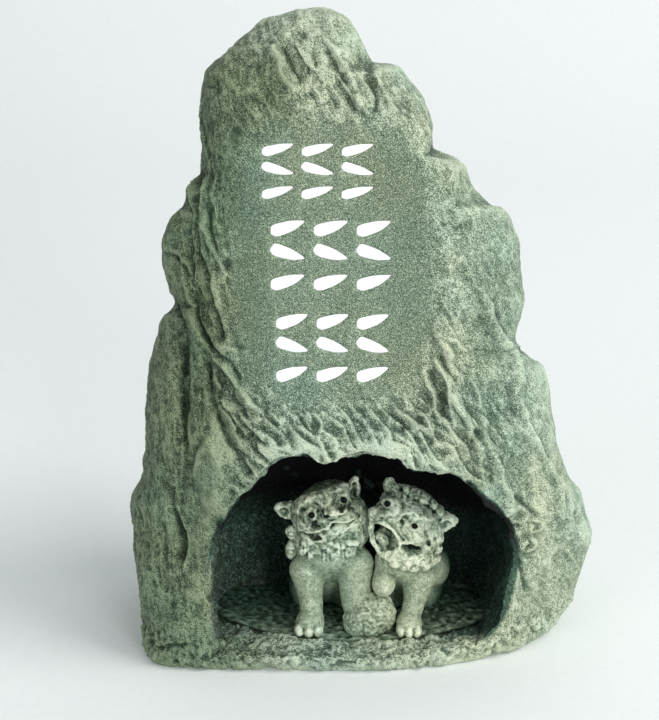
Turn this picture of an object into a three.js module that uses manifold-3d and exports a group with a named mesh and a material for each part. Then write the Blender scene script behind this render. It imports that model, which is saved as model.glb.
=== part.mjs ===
// A cast stone ornament: a standing rock with rows of engraved strokes on its smooth panel and
// a cave at its foot, where a pair of guardian lions sits on an oval floor of its own.
// Millimetres, +Z up, the front faces -Y, and the origin is under the middle of the rock.
import * as THREE from "three";
import { ParametricGeometry } from "three/addons/geometries/ParametricGeometry.js";
import { mergeVertices } from "three/addons/utils/BufferGeometryUtils.js";
import Module from "manifold-3d";

const wasm = await Module();
wasm.setup();

// Driving dimensions
const HEIGHT = 172;
const FLOOR_LEVEL = 6;
const FLOOR_THICKNESS = 4;
const FIT_GAP = 0.3;
const PANEL = { x: -8, z: 111, halfWidth: 29, halfHeight: 39, footY: -33, footZ: 74, lean: 17 / 70 };
const SHELF_SLOPE = 0.28;
const ENGRAVING_DEPTH = 0.9;
const OVERCUT = 2;
const ROCK_GRID = { front: 36, back: 14, rows: 36, rowPower: 1.2 };
const SUMMIT = { x: -13, y: 4 };

// Helpers for numbers
const clamp01 = (t) => Math.min(1, Math.max(0, t));
const mix = (a, b, t) => a + (b - a) * t;
const radians = THREE.MathUtils.degToRad;
const signedPower = (value, power) => Math.sign(value) * Math.abs(value) ** power;

function smooth(from, to, value) {
  const t = clamp01((value - from) / (to - from));
  return t * t * (3 - 2 * t);
}

// A smooth curve through [z, value] points that never swings past them
function curve(points) {
  const rise = points.slice(1).map(([z, v], i) => (v - points[i][1]) / (z - points[i][0]));
  const slopes = points.map((_, i) => {
    const before = rise[Math.max(0, i - 1)];
    const after = rise[Math.min(rise.length - 1, i)];
    return before * after > 0 ? (2 * before * after) / (before + after) : 0;
  });
  return (z) => {
    const last = points.length - 2;
    const found = points.findIndex((point, i) => i <= last && z <= points[i + 1][0]);
    const i = found < 0 ? last : found;
    const span = points[i + 1][0] - points[i][0];
    const t = clamp01((z - points[i][0]) / span);
    const start = mix(points[i][1], points[i + 1][1], t * t * (3 - 2 * t));
    const bend = slopes[i] * t * (1 - t) ** 2 - slopes[i + 1] * t * t * (1 - t);
    return start + bend * span;
  };
}

// The rock's outline from the front, and its front and back at mid width, all by height
const outlineLeft = curve([
  [0, -60], [12, -61.4], [25, -62.9], [35.2, -64], [42, -60.8], [52, -59.5], [64, -59], [80, -56.6],
  [88, -54], [92.2, -51], [97, -52.4], [104, -54.1], [110, -53.7], [116, -51.2], [119, -48.6],
  [124, -46.9], [128, -43.6], [150, -42.6], [155, -41.4], [160, -36.8], [165, -30.8], [169, -25.4],
  [171.4, -18], [HEIGHT, SUMMIT.x],
]);
const outlineRight = curve([
  [0, 54.5], [5, 58.4], [12, 61], [20, 63.5], [25.5, 64.2], [31, 62], [36, 61], [43, 56.7],
  [50, 54], [60, 52.3], [74, 49.2], [77, 45.7], [80.5, 41.2], [86, 41.6], [93, 43.5], [98, 42.4],
  [107, 42.2], [114, 40], [118.2, 37.4], [120, 33.2], [125, 28.8], [130, 26.9], [132.5, 23.5],
  [135, 18.3], [141, 18], [148, 15.3], [153.5, 11.5], [156.6, 8.7], [158, 2.4], [162, 0],
  [166, -2.4], [169.5, -5.3], [171.4, -8.5], [HEIGHT, SUMMIT.x],
]);
const frontLine = curve([
  [0, -36.8], [3, -38], [12, -37.4], [40, -36.6], [58, -38], [66, -37.4], [74, -34.4], [100, -28.2],
  [126, -22], [149, -16.2], [158, -12.6], [165, -7.4], [169, -3.2], [171.4, 0.8], [HEIGHT, SUMMIT.y],
]);
const backLine = curve([
  [0, 37.5], [10, 38.7], [40, 37.9], [70, 33.9], [100, 29.4], [126, 26], [149, 22], [160, 18],
  [166, 14.2], [169.5, 10.6], [171.4, 7], [HEIGHT, SUMMIT.y],
]);

// How square each side of a level section is: 2 is an ellipse, more is boxier
const squareness = {
  frontLeft: curve([[0, 8], [14, 6], [34, 3.4], [60, 3], [100, 3], [150, 2.6], [HEIGHT, 2.2]]),
  frontRight: curve([[0, 2.05], [34, 2.2], [60, 2.5], [100, 2.7], [150, 2.6], [HEIGHT, 2.2]]),
  back: curve([[0, 2.9], [60, 2.6], [HEIGHT, 2.2]]),
};

// Folds and creases on the front, as [x, z] paths: a height below zero is a crease
const folds = [
  {
    path: [[-41.3, 134], [-40.4, 119], [-38.1, 104], [-34, 88.7], [-29.4, 76], [-24, 63]],
    width: 2.6, height: 1.7,
  },
  {
    path: [[-37.5, 116], [-35.4, 104], [-31.5, 90], [-25, 77.5], [-16, 70.5]],
    width: 2.4, height: 1.3,
  },
  {
    path: [[-44.2, 119], [-43.6, 104], [-41, 92], [-36.4, 80], [-33, 68]],
    width: 2.6, height: -2.6,
  },
  {
    path: [[-51, 93], [-47.6, 84], [-46.6, 74], [-46.8, 60], [-48.5, 44], [-47.4, 32]],
    width: 3, height: -3.2,
  },
  {
    path: [[-38.6, 64], [-38.8, 57], [-39.6, 50]],
    width: 4.6, height: 2.8,
  },
  {
    path: [[-40.5, 46], [-44, 36], [-46, 24], [-48, 12]],
    width: 5, height: 1.5,
  },
  {
    path: [[30.3, 104], [36.9, 91.7], [41.9, 71], [46.5, 60.5], [53.5, 52]],
    width: 3, height: 1.6,
  },
  {
    path: [[20.5, 94], [22.6, 84], [28, 71.3]],
    width: 2.2, height: 1.2,
  },
  {
    path: [[24, 77], [30.5, 63.5], [36.4, 54]],
    width: 2.2, height: 1.2,
  },
  {
    path: [[-28, 57.5], [-20, 65], [-8, 64], [4, 66.5], [14, 61.5], [24, 60.5], [33, 50]],
    width: 3.2, height: 1.4,
  },
  {
    path: [[2.5, 157], [6, 151], [12, 146]],
    width: 2.4, height: -1.6,
  },
  {
    path: [[-19, 166], [-13.5, 157]],
    width: 2, height: -1.4,
  },
  {
    path: [[-11.5, 166], [-5, 153]],
    width: 2, height: -1.4,
  },
  {
    path: [[40, 44.5], [44, 39], [41.5, 34.5]],
    width: 2.4, height: 1.4,
  },
];

function distanceToPath(x, z, path) {
  if (path.length === 1) return Math.hypot(x - path[0][0], z - path[0][1]);
  const distances = path.slice(1).map(([bx, bz], i) => {
    const [ax, az] = path[i];
    const along = (x - ax) * (bx - ax) + (z - az) * (bz - az);
    const t = clamp01(along / ((bx - ax) ** 2 + (bz - az) ** 2));
    return Math.hypot(x - mix(ax, bx, t), z - mix(az, bz, t));
  });
  return Math.min(...distances);
}

// The height that soft-edged strokes along paths add up to at one place
function reliefHeight(x, z, strokes) {
  return strokes.reduce((sum, { path, width, height }) => {
    return sum + height * Math.exp(-((distanceToPath(x, z, path) / width) ** 2));
  }, 0);
}

const panelY = (z) => PANEL.footY + (z - PANEL.footZ) * PANEL.lean;

// 1 inside the smooth panel, falling to 0 over its border
function panelShare(x, z) {
  const across = Math.abs(x - PANEL.x) / PANEL.halfWidth;
  const up = Math.abs(z - PANEL.z) / PANEL.halfHeight;
  return 1 - smooth(0.85, 1.2, (across ** 4 + up ** 4) ** 0.25);
}

// Broad lumps all over the rock, bent so that they don't line up
function lumps(x, y, z) {
  const bentX = x + 7 * Math.sin(0.055 * z + 0.06 * y + 0.5);
  const bentZ = z + 8 * Math.sin(0.06 * x - 0.05 * y + 1.9);
  const broad = Math.sin(0.085 * bentX + 0.8) * Math.sin(0.07 * bentZ + 0.04 * y + 0.3);
  const small = Math.sin(0.19 * bentX - 0.3) * Math.sin(0.16 * bentZ - 0.1 * y + 1.9);
  return 1.1 * broad + 0.6 * small;
}

// A point of the rock's skin: the angle runs round a level section, and a negative sine is the front
function rockPoint(angle, z, target) {
  const across = Math.cos(angle);
  const along = Math.sin(angle);
  const front = along < 0;
  const side = across < 0 ? squareness.frontLeft : squareness.frontRight;
  const power = 2 / (front ? side(z) : squareness.back(z));
  const middle = (frontLine(z) + backLine(z)) / 2;
  const depth = ((backLine(z) - frontLine(z)) / 2) * signedPower(along, power);
  const slope = SHELF_SLOPE * smooth(0, 20, z) * smooth(HEIGHT, HEIGHT - 40, z);
  const left = outlineLeft(z + slope * depth);
  const right = outlineRight(z + slope * depth);
  let x = (left + right) / 2 + ((right - left) / 2) * signedPower(across, power);
  let y = middle + depth;

  const facing = smooth(0.05, 0.5, Math.abs(along));
  const panel = front ? panelShare(x, z) * facing : 0;
  const near = smooth(0, 8, z) * smooth(HEIGHT, HEIGHT - 8, z);
  const swell = lumps(x, y, z) * near + (front ? reliefHeight(x, z, folds) : 0);
  y = mix(y + along * facing * swell, panelY(z), panel);
  x += across * facing * lumps(x, y, z) * near * (1 - panel);
  return target.set(x, y, z);
}

// Closed meshes and solids
function closedGeometry(source) {
  const geometry = source.clone();
  geometry.deleteAttribute("normal");
  geometry.deleteAttribute("uv");
  const merged = mergeVertices(geometry, 1e-5);
  const index = Array.from(merged.index.array);
  const kept = [];
  for (let i = 0; i < index.length; i += 3) {
    const [a, b, c] = index.slice(i, i + 3);
    if (a !== b && b !== c && c !== a) kept.push(a, b, c);
  }
  merged.setIndex(kept);
  return merged;
}

function signedVolume(geometry) {
  const corner = [new THREE.Vector3(), new THREE.Vector3(), new THREE.Vector3()];
  let volume = 0;
  for (let i = 0; i < geometry.index.count; i += 3) {
    corner.forEach((point, k) => {
      point.fromBufferAttribute(geometry.attributes.position, geometry.index.getX(i + k));
    });
    volume += corner[0].dot(corner[1].cross(corner[2])) / 6;
  }
  return volume;
}

function solid(source, matrix = new THREE.Matrix4()) {
  const geometry = closedGeometry(source).applyMatrix4(matrix);
  const triangles = Uint32Array.from(geometry.index.array);
  if (signedVolume(geometry) < 0) {
    for (let i = 0; i < triangles.length; i += 3) {
      [triangles[i + 1], triangles[i + 2]] = [triangles[i + 2], triangles[i + 1]];
    }
  }
  const vertices = Float32Array.from(geometry.attributes.position.array);
  return new wasm.Manifold(new wasm.Mesh({ numProp: 3, vertProperties: vertices, triVerts: triangles }));
}

const union = (solids) => solids.reduce((whole, next) => whole.add(next));
const subtractAll = (whole, cutters) => cutters.reduce((rest, cutter) => rest.subtract(cutter), whole);

function namedMesh(name, shape, material) {
  const mesh = shape.getMesh();
  const geometry = new THREE.BufferGeometry();
  geometry.setAttribute("position", new THREE.BufferAttribute(mesh.vertProperties, 3));
  geometry.setIndex(new THREE.BufferAttribute(mesh.triVerts, 1));
  geometry.computeVertexNormals();
  const result = new THREE.Mesh(geometry, material);
  result.name = name;
  return result;
}

// A closed skin from rings of points: the first and last ring are closed by a middle point
function skin(rings, endPoints) {
  const around = rings[0].length;
  const stacks = rings.length + 1;
  return new ParametricGeometry((u, v, target) => {
    const row = Math.round(v * stacks);
    if (row === 0) return target.copy(endPoints[0]);
    if (row === stacks) return target.copy(endPoints[1]);
    return target.copy(rings[row - 1][Math.round(u * around) % around]);
  }, around, stacks);
}

// The rock before anything is cut into it
function rockBody() {
  const { front, back, rows, rowPower } = ROCK_GRID;
  const angles = [
    ...Array.from({ length: front }, (_, i) => Math.PI + (Math.PI * i) / front),
    ...Array.from({ length: back }, (_, i) => (Math.PI * i) / back),
  ];
  const rings = Array.from({ length: rows }, (_, row) => {
    const z = HEIGHT * (1 - (1 - row / rows) ** rowPower);
    return angles.map((angle) => rockPoint(angle, z, new THREE.Vector3()));
  });
  return solid(skin(rings, [new THREE.Vector3(0, 0, 0), new THREE.Vector3(SUMMIT.x, SUMMIT.y, HEIGHT)]));
}

// The cave: its mouth from the front as [x, z] points, and how it narrows towards the back
const CAVE = {
  arch: [
    [-38.6, 6], [-40.8, 15], [-39.9, 28], [-36.4, 42], [-28.9, 52.6], [-21.7, 60.2], [-14, 61],
    [-9.7, 59.2], [-0.3, 62.4], [8.5, 60.8], [12.5, 57.4], [23.4, 56.5], [29, 51], [36.9, 41.5],
    [39.9, 33], [39, 22], [36.3, 12], [31, 6],
  ],
  archSteps: 34,
  floorSteps: 8,
  middle: -1,
  frontCentre: 28,
  backCentre: 12,
  depths: [
    { y: -60, width: 1, height: 1 },
    { y: -34, width: 1, height: 1 },
    { y: -24, width: 1.03, height: 0.97 },
    { y: -10, width: 1.02, height: 0.88 },
    { y: 0, width: 0.9, height: 0.74 },
    { y: 7, width: 0.66, height: 0.54 },
    { y: 10.5, width: 0.36, height: 0.32 },
  ],
};

function caveCutter() {
  const arch = new THREE.SplineCurve(CAVE.arch.map(([x, z]) => new THREE.Vector2(x, z)));
  const mouth = arch.getPoints(CAVE.archSteps);
  const [start, end] = [mouth[0], mouth[mouth.length - 1]];
  for (let i = 1; i < CAVE.floorSteps; i += 1) {
    mouth.push(new THREE.Vector2(mix(end.x, start.x, i / CAVE.floorSteps), FLOOR_LEVEL));
  }
  const rings = CAVE.depths.map(({ y, width, height }) => mouth.map((point) => new THREE.Vector3(
    CAVE.middle + (point.x - CAVE.middle) * width,
    y,
    FLOOR_LEVEL + (point.y - FLOOR_LEVEL) * height,
  )));
  const last = CAVE.depths[CAVE.depths.length - 1];
  return solid(skin(rings, [
    new THREE.Vector3(CAVE.middle, CAVE.depths[0].y, CAVE.frontCentre),
    new THREE.Vector3(CAVE.middle, last.y, CAVE.backCentre),
  ]));
}

// The oval floor that the pair is cast with, and the recess that takes it
const FLOOR = { x: -2.2, y: -5, halfWidth: 41, front: 25, back: 13, squareness: 2.2, steps: 40 };

function floorPlate(bottom, top, margin) {
  const outline = Array.from({ length: FLOOR.steps }, (_, i) => {
    const angle = (2 * Math.PI * i) / FLOOR.steps;
    const depth = (Math.sin(angle) < 0 ? FLOOR.front : FLOOR.back) + margin;
    const power = 2 / FLOOR.squareness;
    const x = FLOOR.x + (FLOOR.halfWidth + margin) * signedPower(Math.cos(angle), power);
    return new THREE.Vector2(x, FLOOR.y + depth * signedPower(Math.sin(angle), power));
  });
  const plate = new THREE.ExtrudeGeometry(new THREE.Shape(outline), {
    depth: top - bottom,
    bevelEnabled: false,
  });
  return solid(plate, new THREE.Matrix4().makeTranslation(0, 0, bottom));
}

// Rows of slanting strokes, engraved in three groups down the panel
const STROKE_GROUPS = [
  { x: -11.8, z: 134.2, width: 31, height: 16.5 },
  { x: -8.3, z: 113.2, width: 33.5, height: 21 },
  { x: -7.8, z: 89.8, width: 31.5, height: 20.6 },
];
const STROKE = { columns: 3, rows: 3, fill: 0.92, thickness: 0.5, slant: 0.5 };

function strokeShape(length, thickness) {
  const corners = [
    [-0.5, -0.15], [-0.36, -0.5], [0.12, -0.42], [0.5, 0.05], [0.06, 0.42], [-0.42, 0.5],
  ];
  return new THREE.Shape(corners.map(([x, y]) => new THREE.Vector2(x * length, y * thickness)));
}

function engravedStrokes() {
  const up = new THREE.Vector3(0, PANEL.lean, 1).normalize();
  const across = new THREE.Vector3(1, 0, 0);
  const outward = new THREE.Vector3().crossVectors(across, up);
  return STROKE_GROUPS.flatMap((group) => {
    const cell = { width: group.width / STROKE.columns, height: group.height / STROKE.rows };
    const slant = Math.atan((STROKE.slant * cell.height) / cell.width);
    const shape = strokeShape(cell.width * STROKE.fill, cell.height * STROKE.thickness);
    const cutter = new THREE.ExtrudeGeometry(shape, {
      depth: ENGRAVING_DEPTH + OVERCUT,
      bevelEnabled: false,
    });
    return Array.from({ length: STROKE.columns * STROKE.rows }, (_, i) => {
      const column = i % STROKE.columns;
      const row = Math.floor(i / STROKE.columns);
      const x = group.x + (column - (STROKE.columns - 1) / 2) * cell.width;
      const z = group.z + ((STROKE.rows - 1) / 2 - row) * cell.height;
      const at = new THREE.Vector3(x, panelY(z), z).addScaledVector(outward, -ENGRAVING_DEPTH);
      const turn = new THREE.Matrix4().makeRotationZ(row % 2 === 0 ? slant : -slant);
      const place = new THREE.Matrix4().makeBasis(across, up, outward).setPosition(at);
      return solid(cutter, place.multiply(turn));
    });
  });
}

function rockWithCave() {
  const recess = floorPlate(FLOOR_LEVEL - FLOOR_THICKNESS - FIT_GAP, FLOOR_LEVEL + OVERCUT, FIT_GAP);
  return subtractAll(rockBody(), [caveCutter(), recess, ...engravedStrokes()]);
}

// Clay-like forms that the lions are put together from
const ROUND = new THREE.IcosahedronGeometry(1, 1);
const BEAD = new THREE.IcosahedronGeometry(1, 0);
const PAW_FORM = new THREE.SphereGeometry(1, 16, 5).rotateX(Math.PI / 2);
const HEAD_FORM = new THREE.SphereGeometry(1, 20, 12).rotateX(Math.PI / 2);
const COLLAR_FORM = new THREE.SphereGeometry(1, 20, 5).rotateX(Math.PI / 2);
const SIDES = [-1, 1];

// A ball squashed to three radii, in a frame
function ball(radii, at, { form = ROUND, frame = new THREE.Matrix4() } = {}) {
  return solid(form, frame.clone().multiply(new THREE.Matrix4().makeScale(...radii).setPosition(...at)));
}

// A direction as seen from a form's middle, in degrees: to the right of -Y, and up
function bearings(direction) {
  const elevation = Math.asin(THREE.MathUtils.clamp(direction.z, -1, 1));
  const azimuth = Math.atan2(direction.x, -direction.y) * Math.cos(elevation);
  return [THREE.MathUtils.radToDeg(azimuth), THREE.MathUtils.radToDeg(elevation)];
}

// A ball with ridges and hollows raised on it, whose paths are [right, up] in degrees from its middle
function sculpted(form, radii, strokes, frame) {
  const flattened = strokes.map((stroke) => ({
    ...stroke,
    path: stroke.path.map(([right, up]) => [right * Math.cos(radians(up)), up]),
  }));
  const geometry = closedGeometry(form);
  const points = geometry.attributes.position;
  for (let i = 0; i < points.count; i += 1) {
    const direction = new THREE.Vector3().fromBufferAttribute(points, i).normalize();
    const height = reliefHeight(...bearings(direction), flattened);
    const point = direction.clone().multiply(new THREE.Vector3(...radii)).addScaledVector(direction, height);
    points.setXYZ(i, ...point.toArray());
  }
  return solid(geometry, frame);
}

function mirrored(stroke) {
  return SIDES.map((side) => ({ ...stroke, path: stroke.path.map(([right, up]) => [side * right, up]) }));
}

// A tapering limb with round ends
function limb(from, to, startRadius, endRadius) {
  const start = new THREE.Vector3(...from);
  const end = new THREE.Vector3(...to);
  const length = start.distanceTo(end);
  const profile = [
    [0, -startRadius], [0.75 * startRadius, -0.66 * startRadius], [startRadius, 0],
    [endRadius, length], [0, length + endRadius],
  ];
  const lathe = new THREE.LatheGeometry(profile.map(([r, y]) => new THREE.Vector2(r, y)), 8);
  const direction = end.clone().sub(start).normalize();
  const turn = new THREE.Quaternion().setFromUnitVectors(new THREE.Vector3(0, 1, 0), direction);
  return solid(lathe, new THREE.Matrix4().compose(start, turn, new THREE.Vector3(1, 1, 1)));
}

// A paw with three toes along its front
function paw(at, size) {
  const toes = [-45, 0, 45].map((right) => ({
    path: [[right, 0], [right, -45]],
    width: 12,
    height: 0.3 * size,
  }));
  const radii = [0.92 * size, size, 0.86 * size];
  return sculpted(PAW_FORM, radii, toes, new THREE.Matrix4().makeTranslation(...at));
}

// A leaf-shaped ear: a flat pointed cone with a round foot, leaning out by degrees
function ear(side, { width, length, up, lean }, frame) {
  const profile = [[0, -0.25], [0.48, 0.1], [0.4, 0.6], [0, 1]];
  const leaf = new THREE.LatheGeometry(profile.map(([r, y]) => new THREE.Vector2(r * width, y * length)), 6);
  const upright = new THREE.Matrix4().makeRotationX(Math.PI / 2);
  const flat = new THREE.Matrix4().makeScale(1, 0.5, 1);
  const leaning = new THREE.Matrix4().makeRotationY(radians(side * lean)).setPosition(side * 8, 0.4, up);
  return solid(leaf, frame.clone().multiply(leaning).multiply(flat).multiply(upright));
}

// The strokes of a face, which lie on the bearings where the head's form has its corners
const FACE = [
  ...mirrored({ path: [[24, -10], [10, -12]], width: 15, height: 3.2 }),
  { path: [[-9, 4], [9, 4]], width: 8, height: 2 },
  ...mirrored({ path: [[18, 30], [36, 32], [54, 30]], width: 8, height: 2 }),
  ...mirrored({ path: [[36, 4]], width: 9, height: -1 }),
  ...mirrored({ path: [[72, -15]], width: 14, height: 1.6 }),
];
const SHUT_MOUTH = {
  strokes: [
    { path: [[-60, -24], [-36, -31], [0, -29], [36, -31], [60, -24]], width: 6, height: -2 },
    { path: [[-24, -50], [24, -50]], width: 12, height: 1.8 },
  ],
  hollows: [],
};
const OPEN_MOUTH = {
  strokes: [
    { path: [[-42, -48], [0, -56], [42, -42]], width: 11, height: 2.2 },
  ],
  hollows: [{ radii: [6.8, 4.6, 2.5], at: [-0.6, -8.6, -4.6] }],
};
const HEAD_RADII = [9, 8.2, 8];
const EYE = { radii: [1.8, 1.6, 1.7], x: 4.9, y: -6.6, z: 2.3 };

// A head that looks along -Y in its own frame, with its jaws shut or open
function head({ at, roll, yaw, pitch, mouth, ears }) {
  const turn = new THREE.Euler(radians(pitch), radians(roll), radians(yaw), "YZX");
  const frame = new THREE.Matrix4().makeRotationFromEuler(turn).setPosition(...at);
  const skull = sculpted(HEAD_FORM, HEAD_RADII, [...FACE, ...mouth.strokes], frame);
  const hollows = mouth.hollows.map((hollow) => ball(hollow.radii, hollow.at, { frame }));
  return [
    subtractAll(skull, hollows),
    ...SIDES.map((side) => ball(EYE.radii, [side * EYE.x, EYE.y, EYE.z], { form: BEAD, frame })),
    ...SIDES.map((side, i) => ear(side, ears[i], frame)),
  ];
}

// A collar of beard and mane round the neck, with its locks as ridges
function collar({ at, radii, lock }) {
  const locks = Array.from({ length: lock.count }, (_, i) => {
    const right = lock.spacing * (i - (lock.count - 1) / 2);
    return { path: [[right, 10], [right, -60]], width: lock.spacing / 4, height: lock.height };
  });
  return sculpted(COLLAR_FORM, radii, locks, new THREE.Matrix4().makeTranslation(...at));
}

// A seated lion: chest, back and haunches, then its forelegs, collar of locks and head
function guardian({ chest, rump, haunches, shoulders, forelegs, mane, headPose }) {
  return union([
    ball(chest.radii, chest.at),
    limb(chest.at, rump.at, chest.depth, rump.radius),
    ...haunches.map(({ at, radii }) => ball(radii, at)),
    ...shoulders.map(({ at, radii }) => ball(radii, at)),
    ...forelegs.map(({ shoulder, wrist, radii }) => limb(shoulder, wrist, ...radii)),
    ...forelegs.map(({ foot, size }) => paw(foot, size)),
    collar(mane),
    ...head(headPose),
  ]);
}

const LOCK = { count: 5, spacing: 36, height: 1.4 };

const LEFT_LION = {
  chest: { at: [-8.8, -19.4, 26.2], radii: [8.4, 7.2, 5.8], depth: 6.4 },
  rump: { at: [-9.6, -6, 13.4], radius: 6.6 },
  haunches: [
    { at: [-15.4, -8, 11.6], radii: [4.4, 7, 6.4] },
    { at: [-4.4, -8, 11.6], radii: [4.4, 7, 6.4] },
  ],
  shoulders: [
    { at: [-14.6, -21.6, 21], radii: [4.8, 4.8, 5.4] },
    { at: [-1.8, -20.8, 22.6], radii: [5, 4.8, 7.4] },
  ],
  forelegs: [
    {
      shoulder: [-14.6, -22.4, 19.6], wrist: [-13.9, -24.6, 12], radii: [4.3, 2.9],
      foot: [-14.4, -24.8, 8.6], size: 3.9,
    },
    {
      shoulder: [-1.6, -21.8, 19.6], wrist: [-1.4, -24, 12], radii: [4.5, 3],
      foot: [-1.2, -24.4, 8.6], size: 3.6,
    },
  ],
  mane: { at: [-10, -18, 32.2], radii: [9, 8, 4.6], lock: LOCK },
  headPose: {
    at: [-10.2, -18.6, 39], roll: -25, yaw: 18, pitch: -12, mouth: SHUT_MOUTH,
    ears: [{ width: 6, length: 4.8, up: 3, lean: 66 }, { width: 4.4, length: 5.4, up: 1.4, lean: 32 }],
  },
};

const RIGHT_LION = {
  chest: { at: [11.6, -19.4, 24.6], radii: [8, 6.8, 5.6], depth: 6.4 },
  rump: { at: [13.4, -6, 13], radius: 6.4 },
  haunches: [
    { at: [20.6, -10.5, 16], radii: [3.9, 5.6, 5.8] },
    { at: [8.6, -8, 11.6], radii: [4.2, 7, 6.2] },
  ],
  shoulders: [
    { at: [15.8, -21.4, 20.4], radii: [4.5, 4.6, 5.2] },
    { at: [5.6, -21.4, 22.4], radii: [3.8, 4.6, 5] },
  ],
  forelegs: [
    {
      shoulder: [15.6, -22.4, 18], wrist: [14.2, -24.6, 11.6], radii: [4.2, 2.5],
      foot: [12.9, -25, 8.5], size: 3.6,
    },
    {
      shoulder: [5.6, -21.6, 22], wrist: [5.4, -24, 20], radii: [3.2, 2.8],
      foot: [5.4, -25, 18.8], size: 3,
    },
  ],
  mane: { at: [12.8, -17.4, 29.8], radii: [8.8, 7.4, 4.2], lock: LOCK },
  headPose: {
    at: [12.4, -18.6, 36.8], roll: 36, yaw: -24, pitch: -8, mouth: OPEN_MOUTH,
    ears: [{ width: 3.8, length: 4, up: 4.2, lean: 45 }, { width: 6.4, length: 6, up: 4.2, lean: 54 }],
  },
};

// The rough stone ball that the lions rest their inner paws on
const STONE_BALL = { at: [2.3, -24.6, 10.6], radii: [6.9, 4.8, 5.4] };

function pairOnFloor() {
  return union([
    floorPlate(FLOOR_LEVEL - FLOOR_THICKNESS, FLOOR_LEVEL, 0),
    ball(STONE_BALL.radii, STONE_BALL.at),
    guardian(LEFT_LION),
    guardian(RIGHT_LION),
  ]);
}

const rockStone = new THREE.MeshStandardMaterial({ color: 0x7c8c74, roughness: 0.9, metalness: 0 });
const figureStone = new THREE.MeshStandardMaterial({ color: 0x98a386, roughness: 0.85, metalness: 0 });

const ornament = new THREE.Group();
ornament.add(namedMesh("rock", rockWithCave(), rockStone));
ornament.add(namedMesh("shisa_pair", pairOnFloor(), figureStone));

export default ornament;
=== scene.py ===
"""A cast stone ornament: a standing rock with engraved strokes, and a cave with a pair of lions.

All sizes are in millimetres until a mesh is made. +X is the viewer's right, +Y goes back, +Z is up.
"""
import logging
import math
from dataclasses import dataclass, field
from enum import Enum
from typing import Callable

import bmesh
import bpy
import numpy as np
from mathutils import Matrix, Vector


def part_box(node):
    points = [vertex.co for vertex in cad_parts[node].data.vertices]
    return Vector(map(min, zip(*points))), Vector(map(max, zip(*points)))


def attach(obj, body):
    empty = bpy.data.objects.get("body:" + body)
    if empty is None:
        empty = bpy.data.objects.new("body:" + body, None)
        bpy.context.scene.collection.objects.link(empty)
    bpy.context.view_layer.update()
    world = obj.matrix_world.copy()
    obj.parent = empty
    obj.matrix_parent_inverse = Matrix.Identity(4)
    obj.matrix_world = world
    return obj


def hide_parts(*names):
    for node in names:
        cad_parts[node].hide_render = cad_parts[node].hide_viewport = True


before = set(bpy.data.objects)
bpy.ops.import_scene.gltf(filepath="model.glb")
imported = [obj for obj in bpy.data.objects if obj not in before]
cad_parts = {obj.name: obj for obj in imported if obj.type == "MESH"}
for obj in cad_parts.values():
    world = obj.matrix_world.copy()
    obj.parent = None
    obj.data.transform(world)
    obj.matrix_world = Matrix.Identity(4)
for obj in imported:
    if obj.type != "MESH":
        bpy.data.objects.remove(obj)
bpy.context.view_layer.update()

import openvdb
from mathutils import Matrix, Vector

MM = 0.001
BODY = "root"
LOG = logging.getLogger("ornament")

Array = np.ndarray
Point = tuple[float, float, float]
Flat = tuple[float, float]


# Numbers, curves and noise


def smooth(start: float, end: float, value: Array) -> Array:
    """Rise smoothly from 0 to 1.

    Args:
        start: Where the rise starts, which may be above its end.
        end: Where it ends.
        value: The values to look up.

    Returns:
        0 before the start, 1 past the end, and an S-curve between.
    """
    share = np.clip((value - start) / (end - start), 0.0, 1.0)
    return share * share * (3.0 - 2.0 * share)


def mix(first: Array, second: Array, share: Array) -> Array:
    """Blend two values: 0 gives the first and 1 the second."""
    return first + (second - first) * share


def signed_power(value: Array, power: Array) -> Array:
    """Raise the size of a value to a power and keep its sign."""
    return np.sign(value) * np.abs(value) ** power


class Curve:
    """A smooth curve through (position, value) points that never swings past them."""

    def __init__(self, *points: Flat) -> None:
        """Work out the curve's slopes from its points.

        Args:
            points: The points, in rising order of position.
        """
        self.at, self.values = np.array(points, dtype=float).T
        rise = np.diff(self.values) / np.diff(self.at)
        before = np.concatenate((rise[:1], rise))
        after = np.concatenate((rise, rise[-1:]))
        same_way = before * after > 0
        total = np.where(same_way, before + after, 1.0)
        self.slopes = np.where(same_way, 2.0 * before * after / total, 0.0)

    def __call__(self, position: Array) -> Array:
        """Look up the curve.

        Args:
            position: One position or many.

        Returns:
            The curve's value at each position.
        """
        i = np.clip(np.searchsorted(self.at, position) - 1, 0, len(self.at) - 2)
        span = self.at[i + 1] - self.at[i]
        t = np.clip((position - self.at[i]) / span, 0.0, 1.0)
        start = mix(self.values[i], self.values[i + 1], t * t * (3.0 - 2.0 * t))
        bend = self.slopes[i] * t * (1.0 - t) ** 2 - self.slopes[i + 1] * t * t * (1.0 - t)
        return start + bend * span


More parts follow.
